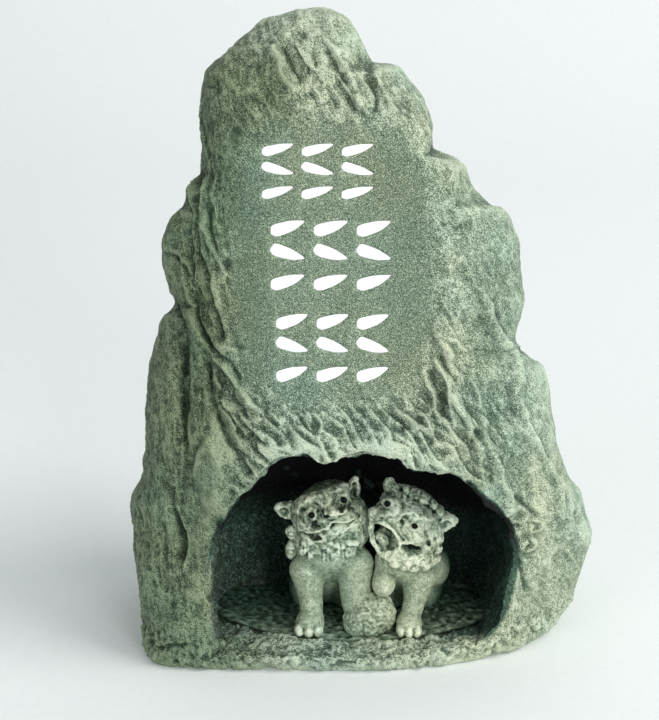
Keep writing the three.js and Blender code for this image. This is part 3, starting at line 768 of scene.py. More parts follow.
@dataclass
class Rock:
    """The standing rock: its outline, its folds and its carved and grainy skin."""

    height: float = 172.0
    summit: Flat = (-13.0, 4.0)
    shelf_slope: float = 0.28
    columns_front: int = 400
    columns_back: int = 230
    rows: int = 400
    triangles: int = 192_000
    panel: Panel = field(default_factory=Panel)
    guide: tuple[Flat, ...] = (
        (-44, 150), (-42.6, 119), (-40, 104), (-36, 90), (-31, 78), (-24, 67), (-16, 60))
    grain: Noise = field(default_factory=lambda: Noise(7))

    def __post_init__(self) -> None:
        """Draw the outlines and folds."""
        x, y = self.summit
        top = self.height
        self.left = Curve(
            (0, -60), (12, -61.4), (25, -62.9), (35.2, -64), (42, -60.8), (52, -59.5), (64, -59),
            (80, -56.6), (88, -54), (92.2, -51), (97, -52.4), (104, -54.1), (110, -53.7), (116, -51.2),
            (119, -48.6), (124, -46.9), (128, -43.6), (150, -42.6), (155, -41.4), (160, -36.8),
            (165, -30.8), (169, -25.4), (171.4, -18), (top, x))
        self.right = Curve(
            (0, 54.5), (5, 58.4), (12, 61), (20, 63.5), (25.5, 64.2), (31, 62), (36, 61), (43, 56.7),
            (50, 54), (60, 52.3), (74, 49.2), (77, 45.7), (80.5, 41.2), (86, 41.6), (93, 43.5),
            (98, 42.4), (107, 42.2), (114, 40), (118.2, 37.4), (120, 33.2), (125, 28.8), (130, 26.9),
            (132.5, 23.5), (135, 18.3), (141, 18), (148, 15.3), (153.5, 11.5), (156.6, 8.7),
            (158, 2.4), (162, 0), (166, -2.4), (169.5, -5.3), (171.4, -8.5), (top, x))
        self.front = Curve(
            (0, -36.8), (3, -38), (12, -37.4), (40, -36.6), (58, -38), (66, -37.4), (74, -34.4),
            (100, -28.2), (126, -22), (149, -16.2), (158, -12.6), (165, -7.4), (169, -3.2),
            (171.4, 0.8), (top, y))
        self.back = Curve(
            (0, 37.5), (10, 38.7), (40, 37.9), (70, 33.9), (100, 29.4), (126, 26), (149, 22),
            (160, 18), (166, 14.2), (169.5, 10.6), (171.4, 7), (top, y))
        self.square_left = Curve((0, 8), (14, 6), (34, 3.4), (60, 3), (100, 3), (150, 2.6), (top, 2.2))
        self.square_right = Curve((0, 2.05), (34, 2.2), (60, 2.5), (100, 2.7), (150, 2.6), (top, 2.2))
        self.square_back = Curve((0, 2.9), (60, 2.6), (top, 2.2))
        self.folds = (
            Stroke(((-41.3, 134), (-40.4, 119), (-38.1, 104), (-34, 88.7), (-29.4, 76), (-24, 63)), 2.6, 1.7),
            Stroke(((-37.5, 116), (-35.4, 104), (-31.5, 90), (-25, 77.5), (-16, 70.5)), 2.4, 1.3),
            Stroke(((-44.2, 119), (-43.6, 104), (-41, 92), (-36.4, 80), (-33, 68)), 2.6, -2.6),
            Stroke(((-51, 93), (-47.6, 84), (-46.6, 74), (-46.8, 60), (-48.5, 44), (-47.4, 32)), 3, -3.2),
            Stroke(((-38.6, 64), (-38.8, 57), (-39.6, 50)), 4.6, 2.8),
            Stroke(((-40.5, 46), (-44, 36), (-46, 24), (-48, 12)), 5, 1.5),
            Stroke(((30.3, 104), (36.9, 91.7), (41.9, 71), (46.5, 60.5), (53.5, 52)), 3, 1.6),
            Stroke(((20.5, 94), (22.6, 84), (28, 71.3)), 2.2, 1.2),
            Stroke(((24, 77), (30.5, 63.5), (36.4, 54)), 2.2, 1.2),
            Stroke(((-28, 57.5), (-20, 65), (-8, 64), (4, 66.5), (14, 61.5), (24, 60.5), (33, 50)), 3.2, 1.4),
            Stroke(((2.5, 157), (6, 151), (12, 146)), 2.4, -1.6),
            Stroke(((-19, 166), (-13.5, 157)), 2, -1.4),
            Stroke(((-11.5, 166), (-5, 153)), 2, -1.4),
            Stroke(((40, 44.5), (44, 39), (41.5, 34.5)), 2.4, 1.4),
        )

    def lumps(self, x: Array, y: Array, z: Array) -> Array:
        """Give the broad lumps that cover the rock all round."""
        bent_x = x + 7.0 * np.sin(0.055 * z + 0.06 * y + 0.5)
        bent_z = z + 8.0 * np.sin(0.06 * x - 0.05 * y + 1.9)
        broad = np.sin(0.085 * bent_x + 0.8) * np.sin(0.07 * bent_z + 0.04 * y + 0.3)
        small = np.sin(0.19 * bent_x - 0.3) * np.sin(0.16 * bent_z - 0.1 * y + 1.9)
        return 1.1 * broad + 0.6 * small

    def skin(self, angle: Array, z: Array) -> Array:
        """Place points of the rock's broad form.

        Args:
            angle: Where the point is round its level section; a negative sine is the front.
            z: The height of the section.

        Returns:
            Rows of x, y, z.
        """
        across = np.cos(angle)
        along = np.sin(angle)
        is_front = along < 0
        square = np.where(across < 0, self.square_left(z), self.square_right(z))
        power = 2.0 / np.where(is_front, square, self.square_back(z))
        middle = (self.front(z) + self.back(z)) / 2.0
        depth = (self.back(z) - self.front(z)) / 2.0 * signed_power(along, power)
        slope = self.shelf_slope * smooth(0, 20, z) * smooth(self.height, self.height - 40, z)
        left = self.left(z + slope * depth)
        right = self.right(z + slope * depth)
        x = (left + right) / 2.0 + (right - left) / 2.0 * signed_power(across, power)
        y = middle + depth
        facing = smooth(0.05, 0.5, np.abs(along))
        panel = np.where(is_front, self.panel.share(x, z) * facing, 0.0)
        near = smooth(0, 8, z) * smooth(self.height, self.height - 8, z)
        folds = sum(fold.lift(x, z) for fold in self.folds)
        swell = self.lumps(x, y, z) * near + np.where(is_front, folds, 0.0)
        y = mix(y + along * facing * swell, self.panel.y(z), panel)
        x = x + across * facing * self.lumps(x, y, z) * near * (1.0 - panel)
        return np.stack((x, y, z), axis=-1)

    def streaks(self, points: Array, lean: float, width: float, length: float) -> Array:
        """Give long sharp ridges that run down the stone.

        Args:
            points: Rows of x, y, z.
            lean: How far the ridges run to the right for each step down.
            width: The distance from ridge to ridge.
            length: How far a ridge runs before it dies out.

        Returns:
            A height from 0 between ridges to 1 on them.
        """
        x, y, z = points.T
        size = math.hypot(1.0, lean)
        across = (x + lean * z) / size
        down = (lean * x - z) / size
        bent = across + 1.3 * self.grain.value(points / 9.0)
        steps = np.stack((bent / width, y / (3.0 * width), down / length), axis=1)
        finer = steps @ np.diag([2.0, 1.5, 1.6]) + 9.0
        ridges = (1.0 - np.abs(self.grain.value(steps))) ** 2.5
        return 0.7 * ridges + 0.45 * (1.0 - np.abs(self.grain.value(finer))) ** 3

    def creases(self, points: Array, across: Array, period: float) -> Array:
        """Give folds like crumpled cloth, each of which rises slowly and then drops off.

        Args:
            points: Rows of x, y, z.
            across: How far each point lies across the folds.
            period: The distance from fold to fold.

        Returns:
            A height from 0 to about 1.
        """
        bent = across + 1.5 * self.grain.value(points / 6.0 + 5.0) + 0.6 * self.grain.value(points / 2.4)
        share = bent / period - np.floor(bent / period)
        return share**1.5 * smooth(1.0, 0.84, share) * (0.65 + 0.6 * self.grain.value(points / 5.0 + 3.0))

    def bulb(self, x: Array, z: Array) -> Array:
        """Give the share of the smooth bulb to the upper left of the cave."""
        return smooth(7.5, 3.5, path_distance(x, z, ((-38.4, 63), (-39.6, 54), (-40, 46))))

    def carving(self, points: Array, front: Array) -> Array:
        """Give the height of the rock's finer carving.

        Args:
            points: Rows of x, y, z.
            front: 1 for each point on the rock's front, 0 on its back.

        Returns:
            The height to add at each point, in millimetres.
        """
        x, _, z = points.T
        rough = 0.16 * (1.0 - 2.0 * np.abs(self.grain.layered(points + 40.0, 3.0, 3, 0.7)))
        rough += 0.1 * self.grain.layered(points + 90.0, 1.5, 2, 0.8)
        rough *= 1.0 - 0.45 * smooth(14, 26, x)
        top = smooth(136, 150, z)
        rough *= 1.0 - 0.3 * top
        rough += 0.7 * top * (self.streaks(points, 0.8, 4.0, 9.0) - 0.4)
        from_guide = path_distance(x, z, self.guide)
        drapery = smooth(9, 3, from_guide) * smooth(56, 64, z)
        rough += 1.1 * drapery * (self.creases(points, from_guide, 2.8) - 0.2)
        right = smooth(12, 22, x) * smooth(118, 98, z)
        rough += 0.5 * right * (self.streaks(points, 0.45, 3.4, 13.0) - 0.4)
        left = smooth(-38, -46, x) * smooth(112, 90, z)
        rough += 0.7 * left * (self.streaks(points, 0.08, 2.6, 11.0) - 0.4)

        bent = points @ np.array([[0.82, 0.0, 0.57], [0.0, 1.0, 0.0], [-0.57, 0.0, 0.82]])
        bent = bent / np.array([4.6, 6.0, 2.7]) + 0.4 * self.grain.value(points / 4.0)[:, None]
        first, second, own = self.grain.cells(bent)
        brow = smooth(49, 54, z) * smooth(78, 71, z) * smooth(-38, -30, x) * smooth(40, 30, x)
        rim = np.exp(-(((second - first) / 0.17) ** 2))
        rough += brow * (0.35 * rim - 0.35 * np.maximum(own + 0.3, 0.0) * smooth(0.1, 0.5, second - first))
        rough += 0.4 * brow * (self.streaks(points, 0.9, 3.0, 6.0) - 0.45)
        rough += 1.9 * brow * (self.creases(points, 0.74 * x + 0.67 * z, 3.0) - 0.25)
        rough += 0.3 * smooth(-6, 8, x) * (self.streaks(points + 17.0, 0.5, 1.6, 6.0) - 0.45)
        rough += 0.36 * smooth(2, -12, x) * (self.streaks(points + 31.0, 0.12, 1.4, 7.0) - 0.45)

        jamb = smooth(5.0, 2.5, path_distance(x, z, ((-41, 44), (-43, 30), (-43.4, 16))))
        rough *= 1.0 - 0.45 * np.maximum(self.bulb(x, z), jamb)
        shore = smooth(13.0, 7.0, z)
        rough += 0.75 * shore * self.grain.layered(points + 20.0, 2.0, 2, 0.9)
        broken = 1.25 + 0.6 * self.grain.value(points / 2.6 + 8.0)
        rough += broken * sum(stroke.lift(x, z) for stroke in FRONT_STROKES)
        plain = 0.8 * (self.streaks(points + 5.0, 0.25, 9.0, 26.0) - 0.4)
        plain += 0.3 * self.grain.layered(points + 12.0, 4.0, 2, 0.6)
        return 0.45 * self.grain.layered(points, 5.5, 2) + mix(plain, rough, front)

    def even_angles(self, rows: Array) -> Array:
        """Find the angles that space the columns evenly round each level section.

        Args:
            rows: The heights of the sections.

        Returns:
            A row of angles for each height, first round the front and then round the back.
        """
        some = rows[::8]
        found = []
        for start, columns in ((math.pi, self.columns_front), (2.0 * math.pi, self.columns_back)):
            fine = np.linspace(start, start + math.pi, 1500)
            grid_z, grid_angle = np.meshgrid(some, fine, indexing="ij")
            points = self.skin(grid_angle.ravel(), grid_z.ravel()).reshape(len(some), len(fine), 3)
            steps = np.linalg.norm(np.diff(points[:, :, :2], axis=1), axis=2)
            along = np.concatenate((np.zeros((len(some), 1)), np.cumsum(steps, axis=1)), axis=1)
            shares = np.linspace(0.0, 1.0, columns, endpoint=False)
            even = np.array([np.interp(shares * row[-1], row, fine) for row in along])
            found.append(np.array([np.interp(rows, some, column) for column in even.T]).T)
        return np.concatenate(found, axis=1)

    def build(self) -> bpy.types.Object:
        """Build the rock with its carving, before its cave.

        Returns:
            A closed object.
        """
        heights = np.linspace(0.0, self.height, 2000)
        half = (self.right(heights) - self.left(heights)) / 2.0
        steps = np.hypot(np.diff(heights), 0.8 * np.diff(half))
        along = np.concatenate(([0.0], np.cumsum(steps)))
        rows = np.interp(np.linspace(0.0, along[-1], self.rows + 1)[:-1], along, heights)
        columns = self.columns_front + self.columns_back
        grid_z = np.repeat(rows[:, None], columns, axis=1)
        grid_angle = self.even_angles(rows)
        base = self.skin(grid_angle.ravel(), grid_z.ravel()).reshape(self.rows, columns, 3)

        round_step = np.roll(base, -1, axis=1) - np.roll(base, 1, axis=1)
        up_step = np.gradient(base, axis=0)
        normal = np.cross(round_step, up_step)
        normal /= np.maximum(np.linalg.norm(normal, axis=2, keepdims=True), 1e-9)
        points = base.reshape(-1, 3)
        x, y, z = points.T
        along_front = -np.sin(grid_angle.ravel())
        front = smooth(0.02, 0.2, along_front)
        panel = self.panel.share(x, z, 0.72, 1.06) * front
        calm = smooth(0.0, 1.4, z) * (1.0 - 0.94 * panel)
        moved = points + normal.reshape(-1, 3) * (self.carving(points, front) * calm)[:, None]
        chips = self.grain.layered(points * np.array([1.0, 1.0, 0.35]) + 60.0, 9.0, 4, 0.75)
        tuck = smooth(2.6, 0.0, z) * np.clip(0.4 + 6.0 * chips, 0.0, 2.0)
        outward = np.stack((x, y + 2.0, np.zeros_like(x)), axis=1)
        moved -= outward / np.linalg.norm(outward, axis=1, keepdims=True) * tuck[:, None]
        low, high = (np.array(corner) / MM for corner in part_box("rock"))
        moved = np.clip(moved, low, high)
        moved[:columns, 2] = 0.0

        ends = np.array([[0.0, 0.0, 0.0], [self.summit[0], self.summit[1], self.height]])
        moved = np.concatenate((moved, ends))
        cell = np.arange((self.rows - 1) * columns)
        after = np.where(cell % columns == columns - 1, cell - columns + 1, cell + 1)
        faces = np.stack((cell, after, after + columns, cell + columns), axis=1).tolist()
        foot, peak = len(moved) - 2, len(moved) - 1
        last = (self.rows - 1) * columns
        for i in range(columns):
            following = (i + 1) % columns
            faces.append([following, i, foot])
            faces.append([last + i, last + following, peak])
        return mesh_object("rock_body", moved, faces)


@dataclass
class Cave:
    """The cave at the rock's foot."""

    floor: float = 6.0
    middle: float = -1.0
    columns: int = 330
    rings: int = 90
    grain: Noise = field(default_factory=lambda: Noise(19))
    arch: tuple[Flat, ...] = (
        (-38.6, 6), (-40.8, 15), (-39.9, 28), (-36.4, 42), (-28.9, 52.6), (-21.7, 60.2), (-14, 61),
        (-9.7, 59.2), (-0.3, 62.4), (8.5, 60.8), (12.5, 57.4), (23.4, 56.5), (29, 51), (36.9, 41.5),
        (39.9, 33), (39, 22), (36.3, 12), (31, 6))

    def __post_init__(self) -> None:
        """Draw how the cave narrows towards its back."""
        self.width = Curve((-60, 1.06), (-38, 1.05), (-34, 1), (-24, 1.03), (-10, 1.02), (0, 0.9),
                           (7, 0.66), (10.5, 0.36))
        self.rise = Curve((-60, 1.04), (-38, 1.03), (-34, 1), (-24, 0.97), (-10, 0.88), (0, 0.74),
                          (7, 0.54), (10.5, 0.32))

    def mouth(self) -> Array:
        """Draw the mouth from the front, round the arch and back along the floor.

        Returns:
            Rows of x, z.
        """
        corners = np.array(self.arch)
        padded = np.concatenate((corners[:1], corners, corners[-1:]))
        along = np.linspace(0.0, len(corners) - 1, self.columns)
        i = np.minimum(along.astype(int), len(corners) - 2)
        t = (along - i)[:, None]
        a, b, c, d = (padded[i + step] for step in range(4))
        start = (c - a) / 2.0
        end = (d - b) / 2.0
        arch = (2 * b - 2 * c + start + end) * t**3 + (3 * c - 3 * b - 2 * start - end) * t**2 + start * t + b
        back = np.linspace(0.0, 1.0, self.columns // 2)[1:-1, None]
        return np.concatenate((arch, mix(arch[-1], arch[0], back)))

    def cutter(self) -> bpy.types.Object:
        """Build the cave's space as a closed object.

        Returns:
            The object to cut out of the rock.
        """
        mouth = self.mouth()
        depths = np.concatenate((np.linspace(-60, -42, 4), np.linspace(-41, 10.5, self.rings - 4)))
        x = self.middle + (mouth[None, :, 0] - self.middle) * self.width(depths)[:, None]
        z = self.floor + (mouth[None, :, 1] - self.floor) * self.rise(depths)[:, None]
        y = np.repeat(depths[:, None], len(mouth), axis=1)
        points = np.stack((x, y, z), axis=2).reshape(-1, 3)
        middle = np.array([self.middle, 0.0, 26.0])
        outward = (points - middle) * np.array([1.0, 0.0, 1.0])
        outward /= np.linalg.norm(outward, axis=1, keepdims=True)
        rough = 0.9 * self.grain.layered(points, 7.0, 2) + 0.45 * self.grain.layered(points + 30.0, 2.2, 3, 0.75)
        off_floor = smooth(self.floor, self.floor + 3.0, points[:, 2])
        points += outward * (rough * off_floor)[:, None]
        on_floor = points[:, 2] < self.floor + 0.01
        points[on_floor, 2] += 0.75 * self.grain.layered(points[on_floor], 3.2, 4, 0.75)
        points[on_floor, 2] -= 1.6 * smooth(-31.5, -38.0, points[on_floor, 1])
        columns = len(mouth)
        ends = np.array([[self.middle, -60.0, 28.0], [self.middle, 11.2, 12.0]])
        points = np.concatenate((points, ends))
        cell = np.arange((self.rings - 1) * columns)
        after = np.where(cell % columns == columns - 1, cell - columns + 1, cell + 1)
        faces = np.stack((cell, cell + columns, after + columns, after), axis=1).tolist()
        last = (self.rings - 1) * columns
        for i in range(columns):
            following = (i + 1) % columns
            faces.append([i, following, len(points) - 2])
            faces.append([last + following, last + i, len(points) - 1])
        return oriented(mesh_object("cave_space", points, faces))

    def inside(self, points: Array) -> Array:
        """Say which points of the rock are in the cave.

        Args:
            points: Rows of x, y, z.

        Returns:
            0 outside the cave, 1 inside.
        """
        x, y, z = points.T
        line = np.array(self.arch) - np.array([self.middle, self.floor])
        turn = np.arctan2(line[:, 1], line[:, 0])[::-1]
        reach = np.hypot(line[:, 0], line[:, 1])[::-1]
        across = (x - self.middle) / self.width(y)
        up = np.maximum(z - self.floor, 0.0) / self.rise(y)
        limit = np.interp(np.arctan2(up, across), turn, reach) + 2.2
        held = smooth(limit, limit - 0.8, np.hypot(across, up)) * smooth(4.6, 5.4, z) * (y < 20.0)
        sill = smooth(8.5, 6.8, z) * smooth(-26.0, -30.0, y)
        front = -36.0 - 4.5 * smooth(8.0, 30.0, x) * smooth(46.0, 36.0, z)
        return held * (1.0 - sill) * smooth(0.0, 2.0, y - front)

    def dim(self, points: Array) -> Array:
        """Say how much painted shade falls in the cave: a little low on the left, more towards the back and the right,
        most under the roof.

        Args:
            points: Rows of x, y, z.

        Returns:
            A share for each point.
        """
        x, y, z = points.T
        deep = 0.25 + 0.2 * smooth(-27.0, 2.0, y) + 0.75 * smooth(24.0, 44.0, z)
        return np.minimum(deep + 0.25 * smooth(6.0, 30.0, x), 1.0)


def oriented(made: bpy.types.Object) -> bpy.types.Object:
    """Turn a closed object's faces outwards.

    Args:
        made: The object.

    Returns:
        The same object.
    """
    work = bmesh.new()
    work.from_mesh(made.data)
    if work.calc_volume(signed=True) < 0:
        bmesh.ops.reverse_faces(work, faces=work.faces)
        work.to_mesh(made.data)
    work.free()
    return made


@dataclass
class FloorPlate:
    """The oval floor that the lions are cast with, and the recess for it in the rock."""

    x: float = -2.2
    y: float = -5.0
    half_width: float = 41.0
    front: float = 25.0
    back: float = 13.0
    squareness: float = 2.2
    level: float = 6.0
    thickness: float = 4.0
    gap: float = 0.3
    overcut: float = 2.0
    steps: int = 220
    grain: Noise = field(default_factory=lambda: Noise(23))

    def outline(self, margin: float) -> Array:
        """Draw the plate's outline.

        Args:
            margin: How far outside the plate the line runs.

        Returns:
            Rows of x, y.
        """
        angle = np.linspace(0.0, 2.0 * math.pi, self.steps, endpoint=False)
        depth = np.where(np.sin(angle) < 0, self.front, self.back) + margin
        power = 2.0 / self.squareness
        x = self.x + (self.half_width + margin) * signed_power(np.cos(angle), power)
        return np.stack((x, self.y + depth * signed_power(np.sin(angle), power)), axis=1)

    def prism(self, name: str, bottom: float, top: float, margin: float, rings: int) -> bpy.types.Object:
        """Build the plate or its recess as a closed object.

        Args:
            name: The object's name.
            bottom: The underside's height.
            top: The upper side's height.
            margin: How far outside the plate's outline it reaches.
            rings: How many rings its upper side has.

        Returns:
            The closed object.
        """
        line = self.outline(margin)
        middle = np.array([self.x, self.y])
        shares = np.linspace(1.0, 0.0, rings + 1)[:-1]
        upper = [np.column_stack((middle + (line - middle) * s, np.full(self.steps, top))) for s in shares]
        lower = np.column_stack((line, np.full(self.steps, bottom)))
        points = np.concatenate([lower, *upper, [[self.x, self.y, top], [self.x, self.y, bottom]]])
        cell = np.arange(rings * self.steps)
        after = np.where(cell % self.steps == self.steps - 1, cell - self.steps + 1, cell + 1)
        faces = np.stack((cell, after, after + self.steps, cell + self.steps), axis=1).tolist()
        last = rings * self.steps
        for i in range(self.steps):
            following = (i + 1) % self.steps
            faces.append([last + i, last + following, len(points) - 2])
            faces.append([following, i, len(points) - 1])
        return oriented(mesh_object(name, points, faces))

    def recess(self) -> bpy.types.Object:
        """Build the space for the plate, a joint's width larger all round."""
        return self.prism("recess", self.level - self.thickness - self.gap, self.level + self.overcut, self.gap, 1)

    def build(self) -> bpy.types.Object:
        """Build the plate with its rough upper side.

        Returns:
            The finished plate.
        """
        plate = self.prism("cave_floor", self.level - self.thickness, self.level, 0.0, 70)
        points = mesh_points(plate)
        on_top = points[:, 2] > self.level - 0.01
        inner = np.hypot((points[:, 0] - self.x) / self.half_width, (points[:, 1] - self.y) / self.front)
        rough = 0.34 * self.grain.layered(points, 1.5, 2, 0.8) - 0.1
        edge = smooth(0.955, 1.0, inner)
        points[:, 2] += np.where(on_top, rough * (1.0 - edge) - 0.5 * edge, 0.0)
        move_points(plate, points)
        # Colour by height: painted highlight and painted shade on the grain, and a dark joint round the edge.
        add_share(plate, "relief", 0.7 * relief_of(plate, 6, 0.2) - 1.2 * edge)
        # Painted shade, darker towards the back of the cave.
        add_share(plate, "dim", smooth(-29.0, 2.0, points[:, 1]) * 0.25 + 0.25)
        add_share(plate, "coarse", np.ones(len(points)))
        hand_over(plate, FIGURE_STONE, Slot.FIGURE, "shisa_pair")
        return plate


# The engraved strokes


@dataclass
class Engraving:
    """Rows of slanting strokes in three groups down the panel, cut into the stone and filled with paint."""

    panel: Panel
    columns: int = 3
    rows: int = 3
    fill: float = 0.92
    thickness: float = 0.5
    slant: float = 0.5
    depth: float = 0.9
    overcut: float = 2.0
    groups: tuple[tuple[float, float, float, float], ...] = (
        (-11.8, 134.2, 31.0, 16.5), (-8.3, 113.2, 33.5, 21.0), (-7.8, 89.8, 31.5, 20.6))
    corners: tuple[Flat, ...] = (
        (-0.5, -0.15), (-0.36, -0.5), (0.12, -0.42), (0.5, 0.05), (0.06, 0.42), (-0.42, 0.5))

    def blank(self, name: str, crown: float) -> bpy.types.Object:
        """Build one stroke of unit size, from -1 up to 0, with its corners rounded.

        Args:
            name: The object's name.
            crown: How far its upper side swells in the middle, as a share of its depth.

        Returns:
            The stroke as a closed object.
        """
        line = np.array(self.corners)
        for _ in range(2):
            following = np.roll(line, -1, axis=0)
            line = np.stack((mix(line, following, 0.18), mix(line, following, 0.82)), axis=1).reshape(-1, 2)
        middle = line.mean(axis=0)
        levels = [(1.0, -1.0), (1.0, -0.16), (0.93, -0.04), (0.84, 0.0), (0.5, crown)]
        if crown == 0.0:
            levels = [(1.0, -1.0), (1.0, 0.0)]
        points = [np.column_stack((middle + (line - middle) * s, np.full(len(line), z))) for s, z in levels]
        count = len(line)
        faces = [[i + r * count, (i + 1) % count + r * count, (i + 1) % count + (r + 1) * count,
                  i + (r + 1) * count] for r in range(len(levels) - 1) for i in range(count)]
        faces.append(list(range(count))[::-1])
        faces.append([(len(levels) - 1) * count + i for i in range(count)])
        made = oriented(mesh_object(name, np.concatenate(points) / MM, faces, crown != 0.0))
        made.hide_render = True
        return made

    def tree(self) -> bpy.types.NodeTree:
        """Build the tree that sets a stroke out in rows and columns, slanting the other way in every second row.

        Returns:
            The geometry tree.
        """
        group = bpy.data.node_groups.new("stroke_rows", "GeometryNodeTree")
        group.interface.new_socket("Geometry", in_out="OUTPUT", socket_type="NodeSocketGeometry")
        kinds = {"Stroke": "Object", "Finish": "Material", "Columns": "Int", "Rows": "Int", "Width": "Float",
                 "Height": "Float", "Fill": "Float", "Thickness": "Float", "Slant": "Float", "Depth": "Float"}
        for name, kind in kinds.items():
            group.interface.new_socket(name, in_out="INPUT", socket_type=f"NodeSocket{kind}")
        tree = Tree(group)
        given = tree.add("NodeGroupInput").outputs
        cell_width = tree.number("DIVIDE", given["Width"], given["Columns"])
        cell_height = tree.number("DIVIDE", given["Height"], given["Rows"])
        grid = tree.add("GeometryNodeMeshGrid", {
            "Vertices X": given["Columns"], "Vertices Y": given["Rows"],
            "Size X": tree.number("SUBTRACT", given["Width"], cell_width),
            "Size Y": tree.number("SUBTRACT", given["Height"], cell_height)})
        row = tree.number("MODULO", tree.add("GeometryNodeInputIndex").outputs[0], given["Rows"])
        side = tree.number("MULTIPLY_ADD", tree.number("MODULO", row, 2.0), -2.0, 1.0)
        rise = tree.number("MULTIPLY", given["Slant"], cell_height)
        angle = tree.number("ARCTAN2", rise, cell_width)
        turn = tree.add("ShaderNodeCombineXYZ", {"Z": tree.number("MULTIPLY", side, angle)})
        size = tree.add("ShaderNodeCombineXYZ", {
            "X": tree.number("MULTIPLY", cell_width, given["Fill"]),
            "Y": tree.number("MULTIPLY", cell_height, given["Thickness"]),
            "Z": given["Depth"]})
        stroke = tree.add("GeometryNodeObjectInfo", {"Object": given["Stroke"]})
        placed = tree.add("GeometryNodeInstanceOnPoints", {
            "Points": grid.outputs["Mesh"], "Instance": stroke.outputs["Geometry"],
            "Rotation": turn.outputs[0], "Scale": size.outputs[0]})
        whole = tree.add("GeometryNodeRealizeInstances", {"Geometry": placed.outputs[0]})
        dressed = tree.add("GeometryNodeSetMaterial", {
            "Geometry": whole.outputs[0], "Material": given["Finish"]})
        tree.add("NodeGroupOutput", {"Geometry": dressed.outputs[0]})
        return group

    def rows_of(self, name: str, blank: bpy.types.Object, tree: bpy.types.NodeTree, sunk: float,
                depth: float) -> bpy.types.Object:
        """Set all three groups out on the panel as one mesh.

        Args:
            name: The new object's name.
            blank: The stroke to repeat.
            tree: The tree that repeats it.
            sunk: How deep under the panel the strokes' upper sides lie.
            depth: How deep the strokes are.

        Returns:
            The new object, with its place in its mesh.
        """
        work = bmesh.new()
        for x, z, width, height in self.groups:
            holder = mesh_object("stroke_group", np.zeros((1, 3)), [])
            rows = holder.modifiers.new("rows", "NODES")
            rows.node_group = tree
            values = {"Stroke": blank, "Finish": None, "Columns": self.columns, "Rows": self.rows,
                      "Width": width * MM, "Height": height * MM, "Fill": self.fill,
                      "Thickness": self.thickness, "Slant": self.slant, "Depth": depth * MM}
            for item in tree.interface.items_tree:
                if item.in_out == "INPUT" and values[item.name] is not None:
                    rows[item.identifier] = values[item.name]
            baked(holder)
            holder.data.transform(self.panel.frame_at(x, z, sunk))
            work.from_mesh(holder.data)
            bpy.data.objects.remove(holder)
        made = mesh_object(name, np.zeros((1, 3)), [])
        work.to_mesh(made.data)
        work.free()
        return made

    def cutter(self, tree: bpy.types.NodeTree) -> bpy.types.Object:
        """Build what is cut out of the rock.

        Args:
            tree: The tree that repeats a stroke.

        Returns:
            All strokes as one object.
        """
        blank = self.blank("stroke_cutter", 0.0)
        made = self.rows_of("stroke_cut", blank, tree, -self.overcut, self.depth + self.overcut)
        bpy.data.objects.remove(blank)
        return made

    def paint(self, tree: bpy.types.NodeTree) -> bpy.types.Object:
        """Build the white paint in the strokes.

        Args:
            tree: The tree that repeats a stroke.

        Returns:
            The finished paint.
        """
        blank = self.blank("stroke_fill", 0.06)
        made = self.rows_of("stroke_paint", blank, tree, 0.06, self.depth - 0.06)
        bpy.data.objects.remove(blank)
        hand_over(made, WHITE_PAINT, Slot.PAINT)
        return made


# The lions, shaped like clay


@dataclass(frozen=True)
class Ball:
    """A ball squashed to three radii and rolled about the Y axis, in degrees: a plus sign lifts its left."""

    at: Point
    radii: Point
    roll: float = 0.0
    blend: float = 1.2

    def reach(self) -> tuple[Array, Array]:
        """Give the corners of the box that holds the form."""
        size = max(self.radii)
        return np.array(self.at) - size, np.array(self.at) + size

    def distance(self, x: Array, y: Array, z: Array) -> Array:
        """Measure how far outside the form places are."""
        angle = math.radians(self.roll)
        dx, dz = x - self.at[0], z - self.at[2]
        across = dx * math.cos(angle) - dz * math.sin(angle)
        up = dx * math.sin(angle) + dz * math.cos(angle)
        a, b, c = self.radii
        local = (across, y - self.at[1], up)
        near = np.sqrt(sum((part / radius) ** 2 for part, radius in zip(local, (a, b, c))))
        far = np.sqrt(sum((part / radius**2) ** 2 for part, radius in zip(local, (a, b, c))))
        return near * (near - 1.0) / np.maximum(far, 1e-6)


@dataclass(frozen=True)
class Limb:
    """A round bar along a path, whose thickness runs evenly from one end to the other."""

    path: tuple[Point, ...]
    radii: Flat
    blend: float = 1.2

    def reach(self) -> tuple[Array, Array]:
        """Give the corners of the box that holds the form."""
        corners = np.array(self.path)
        return corners.min(axis=0) - max(self.radii), corners.max(axis=0) + max(self.radii)

    def distance(self, x: Array, y: Array, z: Array) -> Array:
        """Measure how far outside the form places are."""
        nearest = None
        steps = len(self.path) - 1
        for i, (start, end) in enumerate(zip(self.path, self.path[1:])):
            run = [b - a for a, b in zip(start, end)]
            along = (x - start[0]) * run[0] + (y - start[1]) * run[1] + (z - start[2]) * run[2]
            t = np.clip(along / sum(part * part for part in run), 0.0, 1.0)
            away = np.sqrt((x - start[0] - run[0] * t) ** 2 + (y - start[1] - run[1] * t) ** 2
                           + (z - start[2] - run[2] * t) ** 2)
            found = away - mix(self.radii[0], self.radii[1], (i + t) / steps)
            nearest = found if nearest is None else np.minimum(nearest, found)
        return nearest


